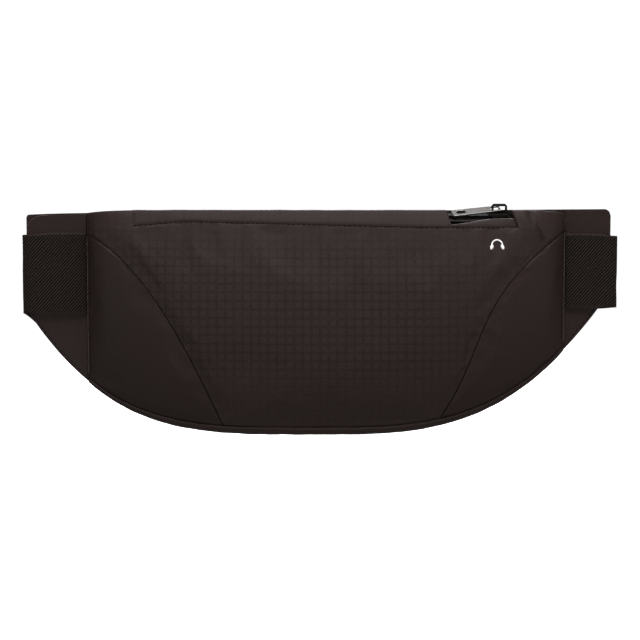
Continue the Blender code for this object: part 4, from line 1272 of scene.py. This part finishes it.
def make_binding(name, inward):
    low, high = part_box(name)
    edge = low.x if inward > 0 else high.x
    width = high.x - low.x
    middle = (low.y + high.y) / 2
    half = (high.y - low.y) / 2 - BINDING_EASE

    def place(s, t):
        z = blend(low.z, high.z, t)
        turn = (s - 0.5) * 2
        bend = math.cos(turn * math.pi / 2) ** 0.5
        x = edge + inward * blend(width, BINDING, bend)
        y = middle + inward * half * math.sin(turn * math.pi / 2)
        return Vector((x, y, z)), (s * width * 2, z)

    shape = lay_grid(12, 40, place)
    finish(name + "_tape", shape, tape_weave, "pack", (name,), thickness=BINDING)


make_binding("seam_binding_left", 1)
make_binding("seam_binding_right", -1)

# %% [markdown]
# ## Stitches
# A row of stitches is one mesh: a short bead for each stitch, turned along the row and sunk a little into
# the cloth. The beads are few-sided, because there are hundreds of them. Each row is drawn as a line seen
# from the front or from behind, and a ray finds the made surface under it, creases and all.

# %% Helpers for stitches
STITCH = 2.4 * MM
STITCH_STEP = 3.0 * MM
THREAD = 0.3 * MM
RAY_START = 0.2
bead_shape = bmesh.new()
bmesh.ops.create_uvsphere(bead_shape, u_segments=6, v_segments=4, radius=1.0)
bead = bpy.data.meshes.new("bead")
bead_shape.to_mesh(bead)
bead_shape.free()


def surface_of(pieces, facing):
    """A function that finds the surface of some pieces at x and z, seen along the y axis."""
    depsgraph = bpy.context.evaluated_depsgraph_get()
    trees = [BVHTree.FromObject(piece, depsgraph) for piece in pieces]

    def at(x, z):
        start = Vector((x, facing * RAY_START, z))
        hits = [tree.ray_cast(start, Vector((0, -facing, 0)))[0] for tree in trees]
        found = [hit for hit in hits if hit]
        return max(found, key=lambda hit: facing * hit.y) if found else None

    return at


def stitch_row(name, line, surface, facing, material, stitch=STITCH, step=STITCH_STEP):
    """Stitches along a list of (x, z) points, laid on a surface."""
    points = [surface(x, z) for x, z in line]
    points = [point for point in points if point]
    along = np.concatenate([[0], np.cumsum([(b - a).length for a, b in zip(points, points[1:])])])
    axes = list(zip(*points))
    outward = Vector((0.0, facing, 0.0))
    shape = bmesh.new()
    for k in range(int(along[-1] / step)):
        ends = [(k + 0.5) * step + half * stitch / 2 for half in (-1, 1)]
        a, b = [Vector([np.interp(end, along, axis) for axis in axes]) for end in ends]
        run = (b - a).normalized()
        side = run.cross(outward).normalized()
        turn = Matrix((run, side, side.cross(run))).transposed().to_4x4()
        size = Matrix.Diagonal((stitch / 2, THREAD, THREAD, 1.0))
        place = Matrix.Translation((a + b) / 2 + outward * THREAD * 0.3) @ turn @ size
        known = len(shape.verts)
        shape.from_mesh(bead)
        shape.verts.ensure_lookup_table()
        for vertex in shape.verts[known:]:
            vertex.co = place @ vertex.co
    finish(name, shape, material, "pack")


def spaced(start, end, count):
    return [blend(start, end, i / count) for i in range(count + 1)]


def straight(start, end, count=80):
    """Points of a straight row, from one (x, z) to another."""
    return list(zip(*(spaced(a, b, count) for a, b in zip(start, end))))


# %% [markdown]
# ### Stitches on the front
# One row runs along the zip, with a bar tack at its left end. Two rows run up each side seam: dark stitches
# a little way in, and close to the seam a paler, unbroken line of the lighter thread, a painted highlight
# on the folded edge.

# %% Stitches on the front
BAR_TACK = 0.9 * MM
TACK_INSET = 1.2 * MM
TACK_FOOT = 1.5 * MM
TACK_HEAD = 0.5 * MM
SEAM_INSET = 1.9 * MM
EDGE_INSET = 0.5 * MM
SEAM_END = 3 * MM
front_surface = surface_of([front, side_left, side_right, lip], -1)
zip_line = [(x, zip_seam(x) - SEAM_GAP) for x in spaced(ZIP_LEFT, ZIP_RIGHT, 240)]
stitch_row("zip_stitches", zip_line, front_surface, -1, shade_thread)
tack_x = ZIP_LEFT + TACK_INSET
tack = straight((tack_x, ZIP_SEAM + TACK_FOOT), (tack_x, TOP - TACK_HEAD))
stitch_row("zip_bar_tack", tack, front_surface, -1, shade_thread, BAR_TACK, BAR_TACK * 1.4)
for name, seam_x, inward in (("left", SEAM_LEFT, 1), ("right", SEAM_RIGHT, -1)):
    x = seam_x + inward * SEAM_INSET
    line = straight((x, hem_seam(x) + SEAM_END), (x, TOP - SEAM_END))
    stitch_row(name + "_seam_stitches", line, front_surface, -1, shade_thread)
    # painted highlight: overlapping pale beads make an unbroken light line on the seam's folded edge
    x = seam_x + inward * EDGE_INSET
    line = straight((x, hem_seam(x) + SEAM_END), (x, CURVE_TOP[-inward]))
    stitch_row(name + "_seam_edge_highlight", line, front_surface, -1, thread, 2 * STITCH, STITCH)

# %% [markdown]
# ### Stitches behind and on the wings
# The pad is sewn on all round, close to its edge. The hem of each wing has a row, the right strap's end is
# held by two, and the left facing's round corner is edged with short overlapping stitches of the lighter
# thread, a painted highlight on its edge.

# %% Stitches behind and on the wings
HEM_STITCH = 3.0 * MM
PAD_STITCH = 2.2 * MM
PAD_SLOPE = 1.5 * MM  # the row's left end lies this much lower, as the pad's upper edge does
EDGING_START = 0.4 * MM
inner_left = pad_low.x + PAD_STITCH
inner_right = pad_high.x - PAD_STITCH
pad_line = [(x, hem(x) + PAD_INSET + PAD_STITCH) for x in spaced(inner_left, inner_right, 160)]
pad_top = upper_edge(inner_right, pad_low.x, pad_high.x, (0.0, 0.0)) - PAD_INSET - PAD_STITCH
pad_line += straight(pad_line[-1], (inner_right, pad_top), 40)[1:]
pad_line += straight(pad_line[-1], (inner_left, pad_top - PAD_SLOPE), 120)[1:]
pad_line += straight(pad_line[-1], pad_line[0], 40)[1:]
stitch_row("pad_stitches", pad_line, surface_of([back, pad], 1), 1, thread)
for name, left, right in (
    ("left", TIP_LEFT + HEM_STITCH, SEAM_LEFT - HEM_STITCH),
    ("right", SEAM_RIGHT + HEM_STITCH, TIP_RIGHT - HEM_STITCH),
):
    surface = surface_of([wings["wing_facing_" + name]], -1)
    line = [(x, hem(x) + HEM_STITCH) for x in spaced(left, right, 60)]
    stitch_row(name + "_wing_stitches", line, surface, -1, shade_thread)
strap_surface = surface_of([strap_right], 1)
strap_low = REAR_HEIGHT - BELT_HALF[1] + 2 * HEM_STITCH
strap_high = REAR_HEIGHT + BELT_HALF[1] - 2 * HEM_STITCH
for row in (1, 3):
    x = SEWN_END - row * HEM_STITCH
    line = straight((x, strap_low), (x, strap_high))
    stitch_row(f"strap_tack_{row}", line, strap_surface, 1, thread)
# painted highlight: a light line of overlapping pale beads along the left facing's round corner
facing_tip = TIP_LEFT + GAP
facing_edge_highlight = []
for share in spaced(0.0, 1.0, 90):
    x = facing_tip + blend(EDGING_START, FACING_CORNER * 1.5, share**2)
    high = upper_edge(x, facing_tip, SEAM_LEFT, (FACING_CORNER, 0.0))
    facing_edge_highlight.append((x, high - FACING_INSET - THREAD))
facing_surface = surface_of([wings["wing_facing_left"]], -1)
stitch_row("facing_edge_highlight", facing_edge_highlight, facing_surface, -1, thread, STITCH, STITCH / 2)

# %% [markdown]
# ## Sign
# A small white transfer print of a pair of headphones sits near the zip's end. It is a common sign: a round
# band over two ear cups. A picture could be laid on the cloth, but thin geometry keeps a sharp edge. A
# strip is spun into the band, and two discs make the cups.

# %% Sign
SIGN_X = 103.4 * MM
SIGN_Z = 17.0 * MM
BAND = 3.15 * MM
BAND_WIDTH = 0.75 * MM
CUP = (0.9 * MM, 1.6 * MM)
CUP_LEAN = math.radians(16)
PRINT_LIFT = 0.08 * MM


def make_sign():
    shape = bmesh.new()
    ends = [shape.verts.new((BAND + half * BAND_WIDTH, 0.0, 0.0)) for half in (-0.5, 0.5)]
    start = shape.edges.new(ends)
    bmesh.ops.spin(
        shape, geom=[*ends, start], cent=(0, 0, 0), axis=(0, 0, 1), angle=math.pi, steps=24, use_merge=False
    )
    for side in (-1, 1):
        cup = bmesh.ops.create_circle(shape, cap_ends=True, segments=20, radius=1.0)["verts"]
        lean = Matrix.Rotation(side * CUP_LEAN, 4, "Z")
        place = Matrix.Translation((side * BAND, -CUP[1] * 0.6, 0.0))
        grow = Matrix.Diagonal((*CUP, 1.0, 1.0))
        bmesh.ops.transform(shape, matrix=place @ lean @ grow, verts=cup)
    for vertex in shape.verts:
        vertex.co = front_surface(SIGN_X + vertex.co.x, SIGN_Z + vertex.co.y) - Vector((0, PRINT_LIFT, 0))
    bmesh.ops.recalc_face_normals(shape, faces=shape.faces)
    for face in shape.faces:
        if face.normal.y > 0:
            face.normal_flip()
    finish("headphone_sign", shape, white_print, "pack", thickness=2 * PRINT_LIFT, offset=0.0)


make_sign()

# %% [markdown]
# ## Stage
# A pale round sweep stands under and about the pouch, and large soft lights stand above and to both sides,
# as in a product photograph. The two lights from above are the strongest, so the top of the pouch is
# palest, and a glow from below keeps its underside from going black.

# %% Sweep
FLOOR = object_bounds()[0].z - 0.06
FLOOR_REACH = 2.6
sweep = bmesh.new()
bmesh.ops.create_circle(
    sweep, cap_ends=True, segments=64, radius=FLOOR_REACH, matrix=Matrix.Translation((0.0, 0.0, FLOOR))
)
rim = list(sweep.edges)
for grow, rise in ((1.1, 0.08), (1.05, 0.25), (1.0, 3.0)):
    ring, rim = extruded(sweep, rim)
    bmesh.ops.scale(sweep, vec=(grow, grow, 1.0), verts=ring)
    bmesh.ops.translate(sweep, vec=(0.0, 0.0, rise), verts=ring)
paper = new_material(
    "white_paper",
    Roughness=0.95,
    Base_Color=linear("#fbfbfb"),
    Emission_Color=linear("#ffffff"),
    Emission_Strength=0.9,
)[0]
floor = put("sweep", smooth_mesh("sweep", sweep, paper))
floor.visible_diffuse = False  # the paper is far brighter than the pouch, so it isn't let light it
floor.visible_glossy = False
floor.visible_shadow = False
print(f"floor at {FLOOR / MM:.0f} mm")

# %% Lights
LOW_GLOW = 8.5
SKY_GLOW = 0.85
GLOW_FROM = -0.75  # the low glow fades to the sky's between these heights, where -1 is straight down
GLOW_TO = 0.05


def soft_light(name, place, size, power):
    lamp = bpy.data.lights.new(name, "AREA")
    lamp.shape = "DISK"
    lamp.size = size
    lamp.energy = power
    light = put(name, lamp)
    light.location = place
    light.rotation_euler = (aim - Vector(place)).to_track_quat("-Z", "Y").to_euler()


soft_light("top_light", (0.05, -0.45, 0.95), 0.9, 15.0)
soft_light("right_light", (1.0, -0.7, -0.02), 0.6, 3.0)
soft_light("left_light", (-1.0, -0.8, 0.05), 0.6, 3.0)
soft_light("low_light", (-0.1, -1.2, -0.1), 0.5, 2.5)
soft_light("back_light", (0.0, 0.9, 0.8), 0.9, 18.0)
world = bpy.data.worlds.new("studio")
world.use_nodes = True
sky = world.node_tree
height = add(sky, "SeparateXYZ", {"Vector": add(sky, "TexCoord").outputs["Generated"]}).outputs["Z"]
glow = add(
    sky,
    "MapRange",
    {"Value": height, "From Min": GLOW_FROM, "From Max": GLOW_TO, "To Min": LOW_GLOW, "To Max": SKY_GLOW},
)
sky.links.new(glow.outputs["Result"], sky.nodes["Background"].inputs["Strength"])
bpy.context.scene.world = world
bpy.context.scene.view_settings.view_transform = "Standard"
print("lights made:", len(bpy.data.lights))
